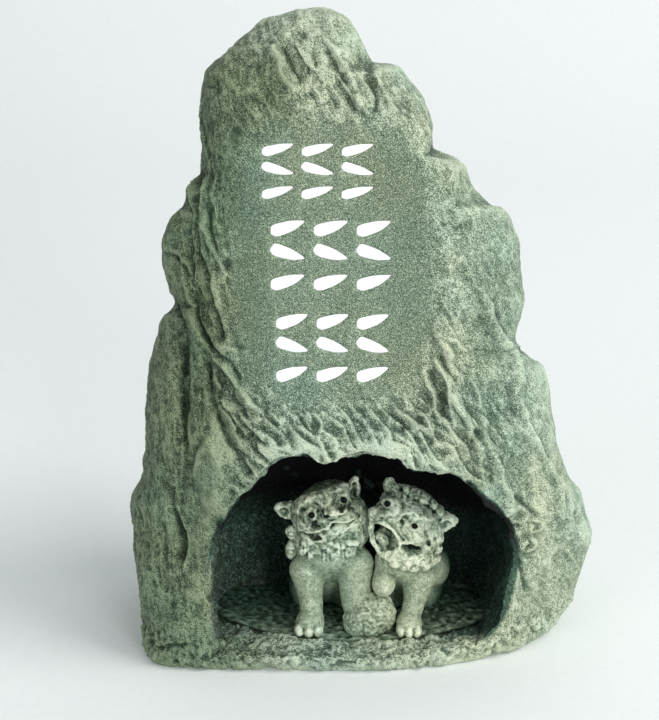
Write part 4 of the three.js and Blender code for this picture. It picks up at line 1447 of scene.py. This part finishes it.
@dataclass
class Clay:
    """A block of clay, kept as distances to its surface on a grid."""

    low: Point
    high: Point
    step: float

    def __post_init__(self) -> None:
        """Lay out the grid."""
        self.axes = [np.arange(a, b, self.step, dtype=np.float32) for a, b in zip(self.low, self.high)]
        self.values = np.full([len(axis) for axis in self.axes], 4.0, dtype=np.float32)

    def window(self, form: Ball | Limb) -> tuple[tuple, list]:
        """Find the part of the grid that a form can change.

        Args:
            form: The form.

        Returns:
            The grid's slices and the coordinates there.
        """
        low, high = form.reach()
        margin = form.blend + 2.0
        slices = tuple(
            slice(*np.searchsorted(axis, (a - margin, b + margin)))
            for axis, a, b in zip(self.axes, low, high))
        parts = [axis[cut] for axis, cut in zip(self.axes, slices)]
        return slices, [parts[0][:, None, None], parts[1][None, :, None], parts[2][None, None, :]]

    def add(self, *forms: Ball | Limb) -> None:
        """Press forms onto the clay, with soft joins."""
        for form in forms:
            slices, places = self.window(form)
            old = self.values[slices]
            new = form.distance(*places)
            soft = np.maximum(form.blend - np.abs(old - new), 0.0) / form.blend
            self.values[slices] = np.minimum(old, new) - soft * soft * form.blend / 4.0

    def carve(self, *forms: Ball | Limb) -> None:
        """Scoop forms out of the clay, with soft edges."""
        for form in forms:
            slices, places = self.window(form)
            old = self.values[slices]
            new = -form.distance(*places)
            soft = np.maximum(form.blend - np.abs(old - new), 0.0) / form.blend
            self.values[slices] = np.maximum(old, new) + soft * soft * form.blend / 4.0

    def engrave(self, strokes: list[Stroke], front: float) -> None:
        """Raise ridges and press creases into the side that faces the viewer.

        Args:
            strokes: The ridges and creases, as seen from the front.
            front: How far back they reach.
        """
        x, y, z = self.axes
        lift = sum(stroke.lift(x[:, None], z[None, :]) for stroke in strokes)
        share = smooth(front, front - 2.0, y)
        self.values -= (lift[:, None, :] * share[None, :, None]).astype(np.float32)

    def made(self, name: str) -> bpy.types.Object:
        """Turn the clay into a closed object.

        Args:
            name: The object's name.

        Returns:
            The object.
        """
        grid = openvdb.FloatGrid(4.0)
        grid.copyFromArray(self.values)
        points, quads = grid.convertToQuads(0.0)
        return oriented(mesh_object(name, points * self.step + np.array(self.low), quads.tolist()))


class Jaw(Enum):
    """Whether a lion's mouth is shut or open."""

    SHUT = "shut"
    OPEN = "open"


@dataclass
class Lion:
    """What the two lions share: a clay block, a skin and glossy eyes."""

    name: str
    jaw: Jaw
    low: Point
    high: Point
    pupils: tuple[Point, Point]
    # Spots darkened on the front, as x, z, reach and depth: painted shade in the sockets, nostrils and under the lips,
    # and darker patches of the stone.
    shade_and_dark_spots: tuple[tuple[float, float, float, float], ...] = ()
    pupil_radius: float = 0.9
    neck: float = 27.0
    # Painted highlight on the head and feet; the right lion, whose face turns to the light, gets more.
    pale: float = 0.2
    step: float = 0.27
    front: float = -17.0

    def forms(self) -> tuple[list, list, list]:
        """Give the forms to add, the hollows and the finishing touches, in that order."""
        return [], [], []

    def strokes(self) -> list[Stroke]:
        """Give the ridges and creases of the face, beard and paws."""
        return []

    def build(self, grain: Noise) -> bpy.types.Object:
        """Build the lion.

        Args:
            grain: The roughness of its stone.

        Returns:
            The finished lion.
        """
        clay = Clay(self.low, self.high, self.step)
        bodies, hollows, touches = self.forms()
        clay.add(*bodies)
        clay.carve(*hollows)
        clay.add(*touches)
        clay.engrave(self.strokes(), self.front)
        made = clay.made(self.name)
        points = mesh_points(made)
        head = smooth(self.neck, self.neck + 4.0, points[:, 2]) + 0.6 * smooth(11.0, 8.0, points[:, 2])
        rough = (0.04 + 0.1 * head) * (0.5 - 2.0 * np.abs(grain.layered(points, 2.6, 3, 0.7)))
        rough += (0.04 + 0.06 * head) * grain.layered(points + 50.0, 0.9, 1)
        move_points(made, points + mesh_normals(made) * rough[:, None])
        # Colour by height of the surface: painted highlight on ridges and painted shade in creases, together with a
        # darker colour in the hollows.
        relief = 0.6 * relief_of(made, 40, 0.8) + 0.5 * relief_of(made, 12, 0.4) + 0.5 * relief_of(made, 4, 0.15)
        x, y, z = points.T
        # The head and feet get a random tone and a painted highlight.
        relief = np.clip(relief, -1.0, 1.0) + head * (0.4 * grain.layered(points + 70.0, 1.3, 2, 0.7) + self.pale)
        # Darken those spots: painted shade in sockets, nostrils and under the lips, and darker patches of the stone.
        for at_x, at_z, reach, depth in self.shade_and_dark_spots:
            near = np.exp(-(((x - at_x) ** 2 + 1.6 * (z - at_z) ** 2) / reach**2))
            relief -= 0.55 * depth * near * smooth(-14.0, -17.0, y)
        add_share(made, "relief", relief)
        # Painted shade, darker towards the back of the cave.
        add_share(made, "dim", 0.7 * smooth(-20.0, -8.0, points[:, 1]))
        add_share(made, "coarse", head)
        hand_over(made, FIGURE_STONE, Slot.FIGURE, "shisa_pair")
        return made

    def beads(self) -> list[bpy.types.Object]:
        """Build the pupils.

        Returns:
            One glossy bead for each eye.
        """
        made = []
        for i, at in enumerate(self.pupils):
            work = bmesh.new()
            place = Matrix.Translation(Vector(at) * MM) @ Matrix.Scale(0.7, 4, Vector((0, 1, 0)))
            bmesh.ops.create_icosphere(work, subdivisions=3, radius=self.pupil_radius * MM, matrix=place)
            bead = mesh_object(f"{self.name}_pupil_{i + 1}", np.zeros((1, 3)), [])
            work.to_mesh(bead.data)
            work.free()
            bead.data.polygons.foreach_set("use_smooth", [True] * len(bead.data.polygons))
            hand_over(bead, EYE_BLACK, Slot.EYE)
            made.append(bead)
        return made


@dataclass
class ShutLion(Lion):
    """The left lion, whose mouth is shut."""

    name: str = "lion_shut"
    jaw: Jaw = Jaw.SHUT
    low: Point = (-27.0, -33.5, 4.6)
    high: Point = (8.0, 5.0, 52.0)
    pupils: tuple[Point, Point] = ((-13.6, -26.1, 40.9), (-4.9, -26.2, 45.4))
    shade_and_dark_spots: tuple[tuple[float, float, float, float], ...] = (
        (-12.6, 38.0, 2.4, 1.0), (-16.4, 38.4, 1.5, 0.7), (-11.5, 42.2, 1.2, 0.9), (-6.4, 45.0, 1.3, 0.9),
        (-2.4, 43.6, 1.9, 0.9), (-12.7, 34.5, 1.6, 1.3), (-9.4, 35.2, 1.2, 0.7), (-11.0, 30.4, 1.5, 1.0),
        (-16.0, 32.2, 1.2, 0.7), (-3.4, 31.4, 1.6, 0.4), (-12.0, 46.6, 3.4, 0.8), (-7.0, 47.6, 3.0, 0.7),
        (-9.8, 41.5, 0.9, 1.8), (-5.5, 43.3, 0.8, 1.8), (-14.9, 41.0, 1.7, 0.8), (-1.6, 41.8, 2.4, 1.0))

    def forms(self) -> tuple[list, list, list]:
        """Give the forms to add, the hollows and the finishing touches, in that order."""
        body = [
            Ball((-9.2, -19.4, 28.2), (8.9, 7.6, 5.8), blend=2.0),
            Limb(((-9.0, -18.0, 25.0), (-9.6, -7.0, 14.0)), (6.6, 7.2), 3.0),
            Ball((-15.6, -8.0, 12.6), (4.8, 8.0, 7.0), blend=2.0),
            Ball((-4.0, -8.0, 12.6), (4.8, 8.0, 7.0), blend=2.0),
            Limb(((-14.8, -21.4, 22.6), (-13.9, -23.6, 14.4)), (5.1, 3.0), 1.4),
            Limb(((-2.0, -21.0, 24.4), (-1.5, -22.8, 14.0), (-1.5, -22.6, 9.0)), (5.2, 3.0), 1.4),
            Limb(((-13.8, -23.8, 14.0), (-13.8, -24.2, 9.6)), (3.0, 3.3), 1.0),
            Ball((-14.3, -25.0, 8.4), (3.9, 4.2, 3.3), blend=1.2),
            Ball((-1.4, -24.6, 8.0), (3.6, 4.2, 3.0), blend=1.2),
        ]
        toes = [Ball((-14.4 + 2.5 * i, -28.0 + 0.5 * abs(i), 7.6), (1.45, 2.3, 1.9), blend=0.4) for i in (-1, 0, 1)]
        head = [
            Ball((-9.6, -17.4, 39.4), (9.4, 8.2, 7.2), -25.0, 1.6),
            Limb(((-17.2, -19.4, 40.6), (-15.4, -22.0, 43.2), (-12.0, -23.2, 45.0), (-8.4, -23.4, 46.4),
                  (-5.0, -22.0, 47.0)), (1.9, 1.7), 1.2),
            Ball((-9.4, -24.0, 43.4), (3.0, 2.8, 2.6), -25.0, 1.2),
            Ball((-12.4, -23.6, 38.2), (4.6, 3.8, 3.0), -14.0, 1.2),
            Ball((-4.2, -24.0, 41.2), (4.4, 4.2, 2.8), -22.0, 1.2),
            Ball((-9.2, -23.4, 35.6), (7.4, 4.4, 3.2), -20.0, 1.2),
            Ball((-2.4, -20.4, 38.2), (4.2, 5.2, 5.4), 0.0, 1.6),
            Ball((-15.8, -19.6, 37.6), (3.2, 4.8, 4.2), 0.0, 1.6),
            Ball((-7.6, -26.6, 42.3), (3.9, 2.0, 1.8), -24.0, 0.6),
            Ball((-9.8, -27.3, 41.5), (1.9, 1.6, 1.4), -14.0, 0.3),
            Ball((-5.4, -27.6, 43.3), (1.9, 1.6, 1.4), -34.0, 0.3),
            Ball((-7.6, -28.0, 42.6), (1.7, 1.4, 1.4), 0.0, 0.4),
            Ball((-20.8, -17.6, 38.9), (2.6, 1.5, 2.5), 30.0, 0.6),
            Limb(((-21.2, -18.0, 38.8), (-22.6, -18.2, 39.8)), (2.1, 1.5), 0.6),
            Limb(((-20.6, -18.0, 38.6), (-19.6, -18.0, 40.3)), (1.9, 1.3), 0.6),
            Ball((-19.0, -17.6, 38.4), (2.2, 2.0, 2.4), 0.0, 1.0),
            Ball((-2.5, -17.4, 44.6), (2.0, 1.5, 3.0), 8.0, 0.8),
            Limb(((-2.7, -17.6, 44.8), (-2.3, -17.8, 46.8), (-1.9, -17.8, 48.2)), (2.0, 0.9), 0.5),
            Ball((-9.6, -20.4, 31.8), (9.0, 6.6, 4.4), -4.0, 1.4),
            Ball((-1.2, -18.6, 33.2), (3.2, 5.0, 4.2), 0.0, 1.6),
        ]
        locks = [
            Ball((-16.2 + 1.2 * i, -25.2 - 0.9 * math.sin(0.28 * i) + 0.07 * i, 30.2 + math.sin(2.3 * i)),
                 (0.95, 1.4, 1.6 + 0.5 * math.sin(1.7 * i)), 24.0 * math.sin(1.1 * i), 0.5 + 0.09 * i)
            for i in range(12)
        ]
        tufts = [
            Ball((-15.4 + 1.7 * i, -25.6 - 0.8 * math.sin(0.36 * i), 32.4 + 0.7 * math.sin(1.9 * i)),
                 (1.15, 1.3, 0.9), 35.0 * math.sin(2.6 * i + 1.0), 0.5) for i in range(9)
        ]
        curls = [
            Ball((-19.0, -20.0, 33.3), (2.0, 2.4, 2.0), blend=0.5),
            Ball((-19.2, -19.8, 28.0), (1.8, 2.4, 2.8), blend=0.5),
            Ball((-17.4, -22.2, 24.6), (1.2, 1.6, 1.9), blend=0.5),
        ]
        hollows = [
            Ball((-13.5, -27.4, 40.6), (2.9, 2.2, 2.3), -25.0, 1.4),
            Ball((-4.9, -27.8, 45.1), (2.4, 2.0, 1.7), -25.0, 1.2),
            Ball((-13.0, -27.6, 38.2), (3.0, 1.6, 1.2), -12.0, 0.8),
            Ball((-9.9, -28.8, 41.5), (1.0, 1.4, 0.5), -10.0, 0.2),
            Ball((-5.5, -29.0, 43.2), (0.8, 1.4, 0.5), -34.0, 0.2),
            Ball((-12.9, -27.8, 34.6), (2.5, 2.0, 0.95), 4.0, 0.4),
            Ball((-21.6, -20.0, 38.6), (1.5, 1.5, 2.0), 40.0, 0.5),
            Ball((-2.2, -19.4, 45.4), (0.9, 1.2, 2.6), 8.0, 0.5),
        ]
        eyes = [
            Ball((-13.5, -24.1, 40.8), (1.8, 1.4, 1.6), blend=2.0),
            Ball((-4.9, -24.4, 45.3), (1.6, 1.4, 1.4), blend=1.8),
        ]
        return body + toes + head + locks + tufts + curls, hollows, eyes

    def strokes(self) -> list[Stroke]:
        """Give the ridges and creases of the face, beard and paws."""
        lip = ((-16.7, 36.0), (-14.5, 35.9), (-11.3, 37.0), (-9.3, 37.8), (-8.0, 39.2), (-6.6, 39.5),
               (-4.8, 39.5), (-3.4, 39.9), (-2.5, 40.6))
        below = tuple((x + 0.3, z - 0.95) for x, z in lip)
        beard = [
            Stroke(((-15.8 + 1.0 * i, 31.6 + 0.8 * math.sin(2.1 * i)), (-16.0 + 1.05 * i, 28.0)), 0.3,
                   -0.16 - 0.14 * math.sin(1.3 * i)) for i in range(14)
        ]
        return [
            Stroke(lip, 0.5, 0.5), Stroke(below, 0.42, -0.75),
            Stroke(((-9.1, 37.4), (-7.6, 36.2), (-5.6, 36.3), (-3.6, 37.6)), 0.5, 0.4),
            Stroke(((-16.4, 34.6), (-12.7, 33.6), (-9.9, 34.6)), 0.6, 0.2),
            Stroke(((-17.6, 40.6), (-16.9, 42.6), (-15.0, 44.4), (-12.7, 45.8), (-9.1, 47.2), (-5.5, 48.2)), 0.7, 0.45),
            Stroke(((-7.0, 44.8), (-6.4, 46.4), (-4.4, 46.8)), 0.4, 0.3),
            Stroke(((-16.4, 39.4), (-15.0, 38.0), (-12.4, 38.2)), 0.5, -0.35),
            Stroke(((-12.2, 43.6), (-10.6, 42.8), (-10.8, 41.9)), 0.4, -0.35),
            Stroke(((-11.9, 41.6), (-11.9, 39.6), (-13.4, 37.6)), 0.45, -0.4),
            Stroke(((-3.4, 43.4), (-1.9, 42.4), (-0.9, 40.4)), 0.45, -0.4),
            Stroke(((-16.4, 38.6), (-14.4, 37.8), (-12.2, 38.4)), 0.5, 0.35),
            Stroke(((-1.6, 38.6), (0.2, 37.0), (0.6, 34.4)), 0.5, -0.4),
            curl(-19.2, 33.3, 1.1, 0.35, -0.4), curl(-19.3, 28.0, 1.1, 0.35, -0.4),
            Stroke(((-8.0, 23.2), (-8.2, 19.0)), 1.2, -0.5),
            *beard,
        ]


@dataclass
class OpenLion(Lion):
    """The right lion, whose mouth is open."""

    name: str = "lion_open"
    jaw: Jaw = Jaw.OPEN
    neck: float = 24.0
    # More painted highlight, as this face turns to the light.
    pale: float = 0.34
    low: Point = (-1.0, -33.5, 4.6)
    high: Point = (30.0, 5.0, 52.0)
    pupils: tuple[Point, Point] = ((6.7, -26.0, 44.3), (14.1, -26.3, 38.0))
    shade_and_dark_spots: tuple[tuple[float, float, float, float], ...] = (
        (10.8, 46.0, 2.2, 1.2), (14.8, 44.4, 2.2, 1.2), (18.4, 42.3, 2.1, 1.2), (20.6, 39.8, 1.5, 0.9),
        (5.4, 45.2, 1.2, 0.8), (5.0, 33.2, 2.3, 0.9), (19.6, 29.4, 2.6, 0.7), (13.6, 31.2, 2.2, 0.9),
        (2.4, 35.6, 1.8, 0.9), (3.0, 38.8, 1.6, 0.8), (4.6, 30.4, 2.0, 0.8), (9.6, 35.4, 1.2, 0.6),
        (7.6, 47.4, 2.0, 1.0), (4.2, 41.2, 2.5, 1.5), (8.4, 41.2, 1.1, 0.6), (12.4, 40.2, 1.6, 0.7),
        (12.4, 35.6, 1.3, 0.6), (7.4, 35.6, 1.9, 1.2), (13.4, 31.3, 1.8, 1.2), (19.4, 36.4, 1.3, 0.6))

    def forms(self) -> tuple[list, list, list]:
        """Give the forms to add, the hollows and the finishing touches, in that order."""
        body = [
            Ball((12.2, -19.6, 26.0), (8.3, 7.2, 6.0), blend=2.0),
            Limb(((12.0, -18.0, 24.0), (13.4, -7.0, 14.0)), (6.6, 7.0), 3.0),
            Ball((20.4, -11.6, 19.6), (4.0, 5.8, 5.4), blend=1.0),
            Ball((17.8, -8.0, 13.0), (4.8, 7.4, 6.8), blend=2.0),
            Ball((8.4, -8.0, 12.6), (4.4, 7.4, 6.8), blend=2.0),
            Limb(((15.6, -21.4, 21.0), (14.2, -23.4, 13.2)), (4.8, 2.7), 1.4),
            Limb(((14.0, -23.6, 13.0), (13.0, -24.4, 9.4)), (2.7, 3.0), 1.0),
            Limb(((7.4, -20.6, 24.6), (6.0, -23.8, 20.6)), (3.8, 3.1), 1.2),
            Ball((5.9, -24.8, 20.0), (3.1, 3.3, 3.4), blend=0.8),
            Ball((12.9, -25.2, 8.4), (3.4, 4.0, 3.2), blend=1.2),
        ]
        toes = [Ball((12.9 + 2.15 * i, -28.0 + 0.5 * abs(i), 7.6), (1.3, 2.2, 1.9), blend=0.4) for i in (-1, 0, 1)]
        head = [
            Ball((12.8, -17.4, 37.6), (9.3, 8.2, 7.6), 36.0, 1.6),
            Limb(((9.4, -17.6, 45.2), (13.6, -18.6, 44.0), (17.4, -18.8, 41.6), (20.6, -18.4, 38.8)), (1.6, 1.8), 1.0),
            Ball((7.8, -23.4, 41.4), (4.4, 4.0, 3.4), 30.0, 1.2),
            Ball((3.9, -25.6, 41.5), (2.4, 2.2, 2.0), 20.0, 0.8),
            Ball((2.8, -26.6, 41.0), (1.2, 1.2, 1.2), 0.0, 0.6),
            Ball((5.2, -26.8, 41.1), (1.2, 1.2, 1.2), 0.0, 0.6),
            Ball((13.2, -23.2, 35.6), (5.2, 4.2, 3.2), 30.0, 1.2),
            Ball((14.0, -22.8, 40.4), (4.2, 3.4, 2.4), 30.0, 1.2),
            Ball((9.2, -21.8, 30.4), (6.6, 5.8, 4.2), 30.0, 1.4),
            Ball((18.2, -19.0, 32.4), (4.0, 4.8, 5.2), 0.0, 1.6),
            Ball((22.2, -17.6, 35.8), (2.6, 1.7, 3.0), 0.0, 0.6),
            Limb(((22.4, -18.0, 35.8), (24.0, -18.2, 36.2), (25.3, -18.2, 36.3)), (2.8, 1.1), 0.5),
            Ball((20.8, -17.6, 35.8), (2.2, 2.0, 2.4), 0.0, 1.0),
            Ball((7.5, -17.6, 46.0), (2.0, 1.4, 2.6), -14.0, 0.7),
            Ball((14.6, -20.0, 28.2), (5.8, 6.2, 4.0), 0.0, 1.4),
        ]
        lips = [
            Limb(((2.6, -25.6, 39.2), (5.0, -27.0, 39.4), (7.2, -27.2, 38.2), (9.2, -27.2, 35.6),
                  (10.6, -27.0, 33.4), (13.5, -26.4, 33.2), (17.2, -24.4, 31.4)), (0.5, 0.6), 1.1),
            Limb(((2.7, -25.6, 39.0), (2.3, -25.4, 36.8), (2.9, -26.2, 33.6), (4.6, -26.8, 30.6), (7.4, -27.0, 28.8),
                  (10.4, -26.8, 29.2), (13.0, -26.4, 28.8), (15.8, -25.6, 29.2), (17.6, -24.2, 30.6)),
                 (0.7, 0.9), 1.1),
        ]
        curls = [Ball((x, y, z), (1.3, 1.4, 1.2), 30.0 * math.sin(x), 1.0) for x, y, z in (
            (11.4, -26.6, 26.4), (14.0, -26.4, 25.9), (16.4, -25.4, 27.4), (18.6, -24.0, 28.4),
            (20.4, -21.6, 26.6), (8.8, -26.4, 27.0), (12.7, -26.6, 27.6), (15.2, -26.0, 28.0),
            (19.0, -23.0, 26.2), (20.6, -21.6, 29.4), (20.8, -21.0, 32.0), (17.4, -25.0, 25.8))]
        locks = [Ball((x, -19.0, z), (2.1, 1.9, 1.2), 35.0, 1.1) for x, z in (
            (12.4, 45.2), (15.4, 43.9), (18.0, 42.0), (20.2, 39.6))]
        hollows = [
            Ball((6.3, -28.0, 34.6), (4.1, 5.8, 2.7), 50.0, 0.5),
            Ball((13.4, -27.8, 31.3), (3.4, 4.8, 1.25), 17.0, 0.2),
            Ball((6.2, -27.2, 44.4), (1.7, 1.9, 1.7), 30.0, 1.0),
            Ball((12.6, -27.8, 38.8), (2.4, 1.8, 1.7), 50.0, 1.4),
            Ball((2.5, -28.4, 40.8), (0.6, 0.8, 0.5), 0.0, 0.2),
            Ball((5.3, -28.5, 40.8), (0.6, 0.8, 0.5), 0.0, 0.2),
            Ball((23.2, -20.2, 35.4), (1.9, 1.1, 1.4), 12.0, 0.6),
        ]
        touches = [
            Ball((6.9, -24.6, 44.0), (1.6, 1.4, 1.5), blend=1.1),
            Ball((14.1, -24.6, 38.0), (2.3, 1.5, 2.1), blend=2.0),
            Ball((5.3, -24.2, 33.0), (2.5, 2.2, 1.6), 55.0, 0.4),
            Limb(((10.2, -27.0, 33.4), (9.9, -27.4, 31.6)), (0.75, 0.25), 0.2),
        ]
        return body + toes + head + lips + curls + locks, hollows, touches

    def strokes(self) -> list[Stroke]:
        """Give the ridges and creases of the face, beard and paws."""
        return [
            Stroke(((7.4, 46.4), (8.9, 45.7), (9.9, 43.9), (9.6, 42.4), (8.2, 41.6)), 0.5, 0.45),
            Stroke(((8.2, 47.9), (10.0, 46.4), (11.0, 43.9), (10.6, 41.6)), 0.42, -0.5),
            Stroke(((10.8, 41.4), (13.4, 42.0), (16.4, 40.6), (18.4, 38.8)), 0.55, 0.5),
            Stroke(((11.2, 42.8), (14.2, 43.4), (17.4, 41.6), (19.2, 39.6)), 0.42, -0.45),
            Stroke(((11.0, 39.0), (10.4, 36.8), (12.0, 34.9)), 0.45, -0.4),
            Stroke(((16.8, 36.4), (17.6, 34.0), (18.0, 31.6)), 0.5, -0.5),
            Stroke(((19.6, 34.0), (20.2, 31.0), (19.4, 28.0)), 0.5, -0.4),
            Stroke(((6.0, 43.0), (4.6, 43.8), (2.6, 43.4)), 0.45, -0.35),
            curl(11.4, 26.4, 0.8, 0.3, -0.35), curl(14.0, 26.0, 0.8, 0.3, -0.35),
            curl(16.6, 27.6, 0.8, 0.3, -0.35), curl(18.8, 28.6, 0.8, 0.3, -0.35),
            Stroke(((10.0, 46.2), (12.4, 44.4), (15.4, 43.0), (18.4, 41.0), (20.0, 39.4)), 0.5, -0.45),
            Stroke(((6.2, 47.0), (8.6, 46.8), (10.6, 45.2), (13.6, 43.6)), 0.5, 0.4),
            Stroke(((13.0, 46.0), (12.2, 44.2)), 0.35, -0.5), Stroke(((15.8, 44.8), (15.0, 43.0)), 0.35, -0.5),
            Stroke(((18.6, 43.0), (17.6, 41.4)), 0.35, -0.5), Stroke(((20.6, 40.8), (19.4, 39.6)), 0.35, -0.5),
        ]


@dataclass
class StoneBall:
    """The rough stone between the lions' inner paws."""

    at: Point = (2.3, -24.4, 11.0)
    radii: Point = (6.6, 5.2, 6.0)

    def build(self, grain: Noise) -> bpy.types.Object:
        """Build the stone.

        Args:
            grain: The roughness of its skin.

        Returns:
            The finished stone.
        """
        clay = Clay((-6.0, -31.5, 3.5), (11.0, -17.0, 19.0), 0.3)
        clay.add(Ball(self.at, self.radii, blend=0.5),
                 Ball((-0.6, -24.8, 9.0), (3.6, 4.4, 3.6), blend=2.0),
                 Ball((5.6, -24.6, 12.0), (3.4, 4.4, 4.2), blend=2.0),
                 Ball((1.4, -25.4, 8.0), (5.0, 4.0, 3.0), blend=2.0))
        made = clay.made("stone_ball")
        points = mesh_points(made)
        rough = 0.5 * grain.layered(points, 2.6, 3, 0.65)
        move_points(made, points + mesh_normals(made) * rough[:, None])
        # Colour by height: painted highlight on its bumps and painted shade between them.
        add_share(made, "relief", 0.8 * relief_of(made, 8, 0.25))
        # Painted shade, darker low down.
        add_share(made, "dim", 0.2 * smooth(12.0, 6.0, points[:, 2]))
        add_share(made, "coarse", np.ones(len(points)))
        hand_over(made, FIGURE_STONE, Slot.FIGURE, "shisa_pair")
        return made


# The studio


@dataclass
class Studio:
    """The pale sweep that the ornament stands on, its lights and the camera."""

    camera_at: Point = (0.0, -570.6, 273.4)
    aim: Point = (-9.2, 0.0, 76.0)
    lens: float = 110.0
    sensor: float = 36.0

    def sweep(self) -> None:
        """Build the floor, which curves up into a backdrop."""
        profile = [(-1500.0, 0.0), (500.0, 0.0)]
        radius = 500.0
        for turn in np.linspace(0.0, math.pi / 2.0, 16)[1:]:
            profile.append((500.0 + radius * math.sin(turn), radius * (1.0 - math.cos(turn))))
        profile.append((1000.0, 2200.0))
        points = [(x, y, z) for y, z in profile for x in (-2500.0, 2500.0)]
        faces = [[2 * i, 2 * i + 1, 2 * i + 3, 2 * i + 2] for i in range(len(profile) - 1)]
        made = mesh_object("sweep", np.array(points), faces)
        made.data.materials.append(PaintFinish("sweep_white", linear(232, 236, 236), linear(229, 234, 235),
                                               0.9, 0.0).made())

    def light(self, name: str, at: Point, size: float, power: float, colour: Point) -> None:
        """Hang one soft light that points at the ornament.

        Args:
            name: The light's name.
            at: Where it hangs.
            size: How wide it is.
            power: Its power in watts.
            colour: Its colour.
        """
        data = bpy.data.lights.new(name, "AREA")
        data.size = size * MM
        data.energy = power
        data.color = colour
        made = bpy.data.objects.new(name, data)
        made.location = Vector(at) * MM
        made.rotation_euler = (Vector(self.aim) - Vector(at)).to_track_quat("-Z", "Y").to_euler()
        bpy.context.scene.collection.objects.link(made)

    def build(self) -> None:
        """Build the whole studio."""
        self.sweep()
        self.light("key", (1450.0, -500.0, 1500.0), 1300.0, 30.0, (1.0, 0.985, 0.95))
        self.light("window", (700.0, -1650.0, 520.0), 600.0, 12.5, (1.0, 1.0, 0.98))
        self.light("fill", (-1100.0, -1300.0, 700.0), 900.0, 4.0, (0.95, 0.98, 1.0))
        world = bpy.data.worlds.new("studio_air")
        world.use_nodes = True
        sky = world.node_tree.nodes["Background"]
        sky.inputs["Color"].default_value = (0.95, 0.965, 0.98, 1.0)
        sky.inputs["Strength"].default_value = 0.48
        bpy.context.scene.world = world
        bpy.context.scene.view_settings.view_transform = "Standard"
        data = bpy.data.cameras.new("camera")
        data.lens = self.lens
        data.sensor_width = self.sensor
        data.clip_end = 20.0
        made = bpy.data.objects.new("camera", data)
        made.location = Vector(self.camera_at) * MM
        made.rotation_euler = (Vector(self.aim) - Vector(self.camera_at)).to_track_quat("-Z", "Y").to_euler()
        bpy.context.scene.collection.objects.link(made)
        bpy.context.scene.camera = made


def build_rock(rock: Rock, cave: Cave, plate: FloorPlate, engraving: Engraving) -> None:
    """Build the rock with its cave and engraved panel, and the paint in the strokes.

    Args:
        rock: The rock's form.
        cave: The cave in its foot.
        plate: The floor whose recess is cut.
        engraving: The strokes on its panel.
    """
    made = rock.build()
    carved(made, cave.cutter())
    carved(made, plate.recess())
    tree = engraving.tree()
    carved(made, engraving.cutter(tree))
    thinned(made, rock.triangles)
    made.name = "rock_skin"
    made.data.name = made.name
    points = mesh_points(made)
    # Colour by height of the surface at three sizes: painted highlight on ridges and painted shade in pits and creases,
    # together with a darker colour in the hollows.
    relief = 0.42 * relief_of(made, 3, 0.2) + 0.55 * relief_of(made, 10, 0.5) + 0.6 * relief_of(made, 40, 1.0)
    panel = rock.panel.share(points[:, 0], points[:, 2], 0.72, 1.06) * (points[:, 1] < 0)
    x, y, z = points.T
    inside = cave.inside(points)
    relief = (np.clip(relief, -1.0, 1.1) + 0.02) * (1.0 - 0.7 * panel) * (1.0 - 0.35 * smooth(18, 30, x))
    relief += 0.6 * (1.0 - panel) * smooth(0, -12, y) * (rock.streaks(points + 8.0, 0.1, 5.0, 20.0) - 0.45)
    relief *= 1.0 - 0.5 * smooth(-4, 10, y)
    # Lighter and darker by region: the bulb and the brow above the mouth lighter, a strip on the far left and two
    # patches on the right darker, the dome's top and the right side lighter as painted light from above and the right,
    # and the panel darker as painted shade.
    relief += 0.3 * rock.bulb(x, z) * smooth(-20, -30, y)
    relief += 0.3 * smooth(50, 56, z) * smooth(75, 68, z) * smooth(-34, -26, x) * smooth(30, 22, x) * (1.0 - inside)
    relief -= 0.4 * smooth(22, 28, x) * smooth(50, 58, z) * smooth(88, 80, z) * smooth(46, 38, x)
    relief -= 0.4 * np.exp(-(((x + 42.0) / 4.0) ** 2)) * smooth(63, 70, z) * smooth(104, 96, z)
    relief -= 0.3 * smooth(24, 32, x) * smooth(84, 94, z) * smooth(128, 120, z)
    relief += 0.5 * smooth(146, 166, z) * smooth(-34, -12, x) + 0.25 * smooth(14, 34, x) - 0.2 * panel
    # Painted light: a pool of light on the low left wall of the cave.
    lit = inside * smooth(24, -10, x) * smooth(50, 26, z) * smooth(-35, -27, y)
    add_share(made, "relief", relief + 1.6 * lit)
    # Painted shade inside the cave, deepest under the roof.
    add_share(made, "dim", inside * cave.dim(points))
    # Painted shade on the left of the rock and the left of the dome, away from the light on the right, with a narrow
    # darker strip on the far left and a faint tint all over.
    age = 0.85 * smooth(-16, -44, x) * smooth(150, 120, z) + 0.1
    age += 0.85 * smooth(-12, -24, x) * smooth(170, 156, z) * smooth(112, 130, z) * (1.0 - panel)
    age += 0.4 * np.exp(-(((x + 44.5) / 3.0) ** 2)) * smooth(58, 66, z) * smooth(114, 104, z)
    add_share(made, "age", (1.0 - inside) * age)
    add_share(made, "coarse", (1.0 - panel) * (1.0 - 0.4 * smooth(18, 30, x)) + 1.6 * inside)
    made.data.polygons.foreach_set("use_smooth", [True] * len(made.data.polygons))
    hand_over(made, ROCK_STONE, Slot.ROCK, "rock")
    engraving.paint(tree)


def main() -> None:
    """Build every piece in order."""
    logging.basicConfig(level=logging.INFO, format="%(name)s %(message)s")
    studio = Studio()
    studio.build()
    rock = Rock()
    plate = FloorPlate()
    build_rock(rock, Cave(), plate, Engraving(rock.panel))
    plate.build()
    grain = Noise(31)
    for lion in (ShutLion(), OpenLion()):
        lion.build(grain)
        lion.beads()
    StoneBall().build(grain)


if __name__ == "__main__":
    main()
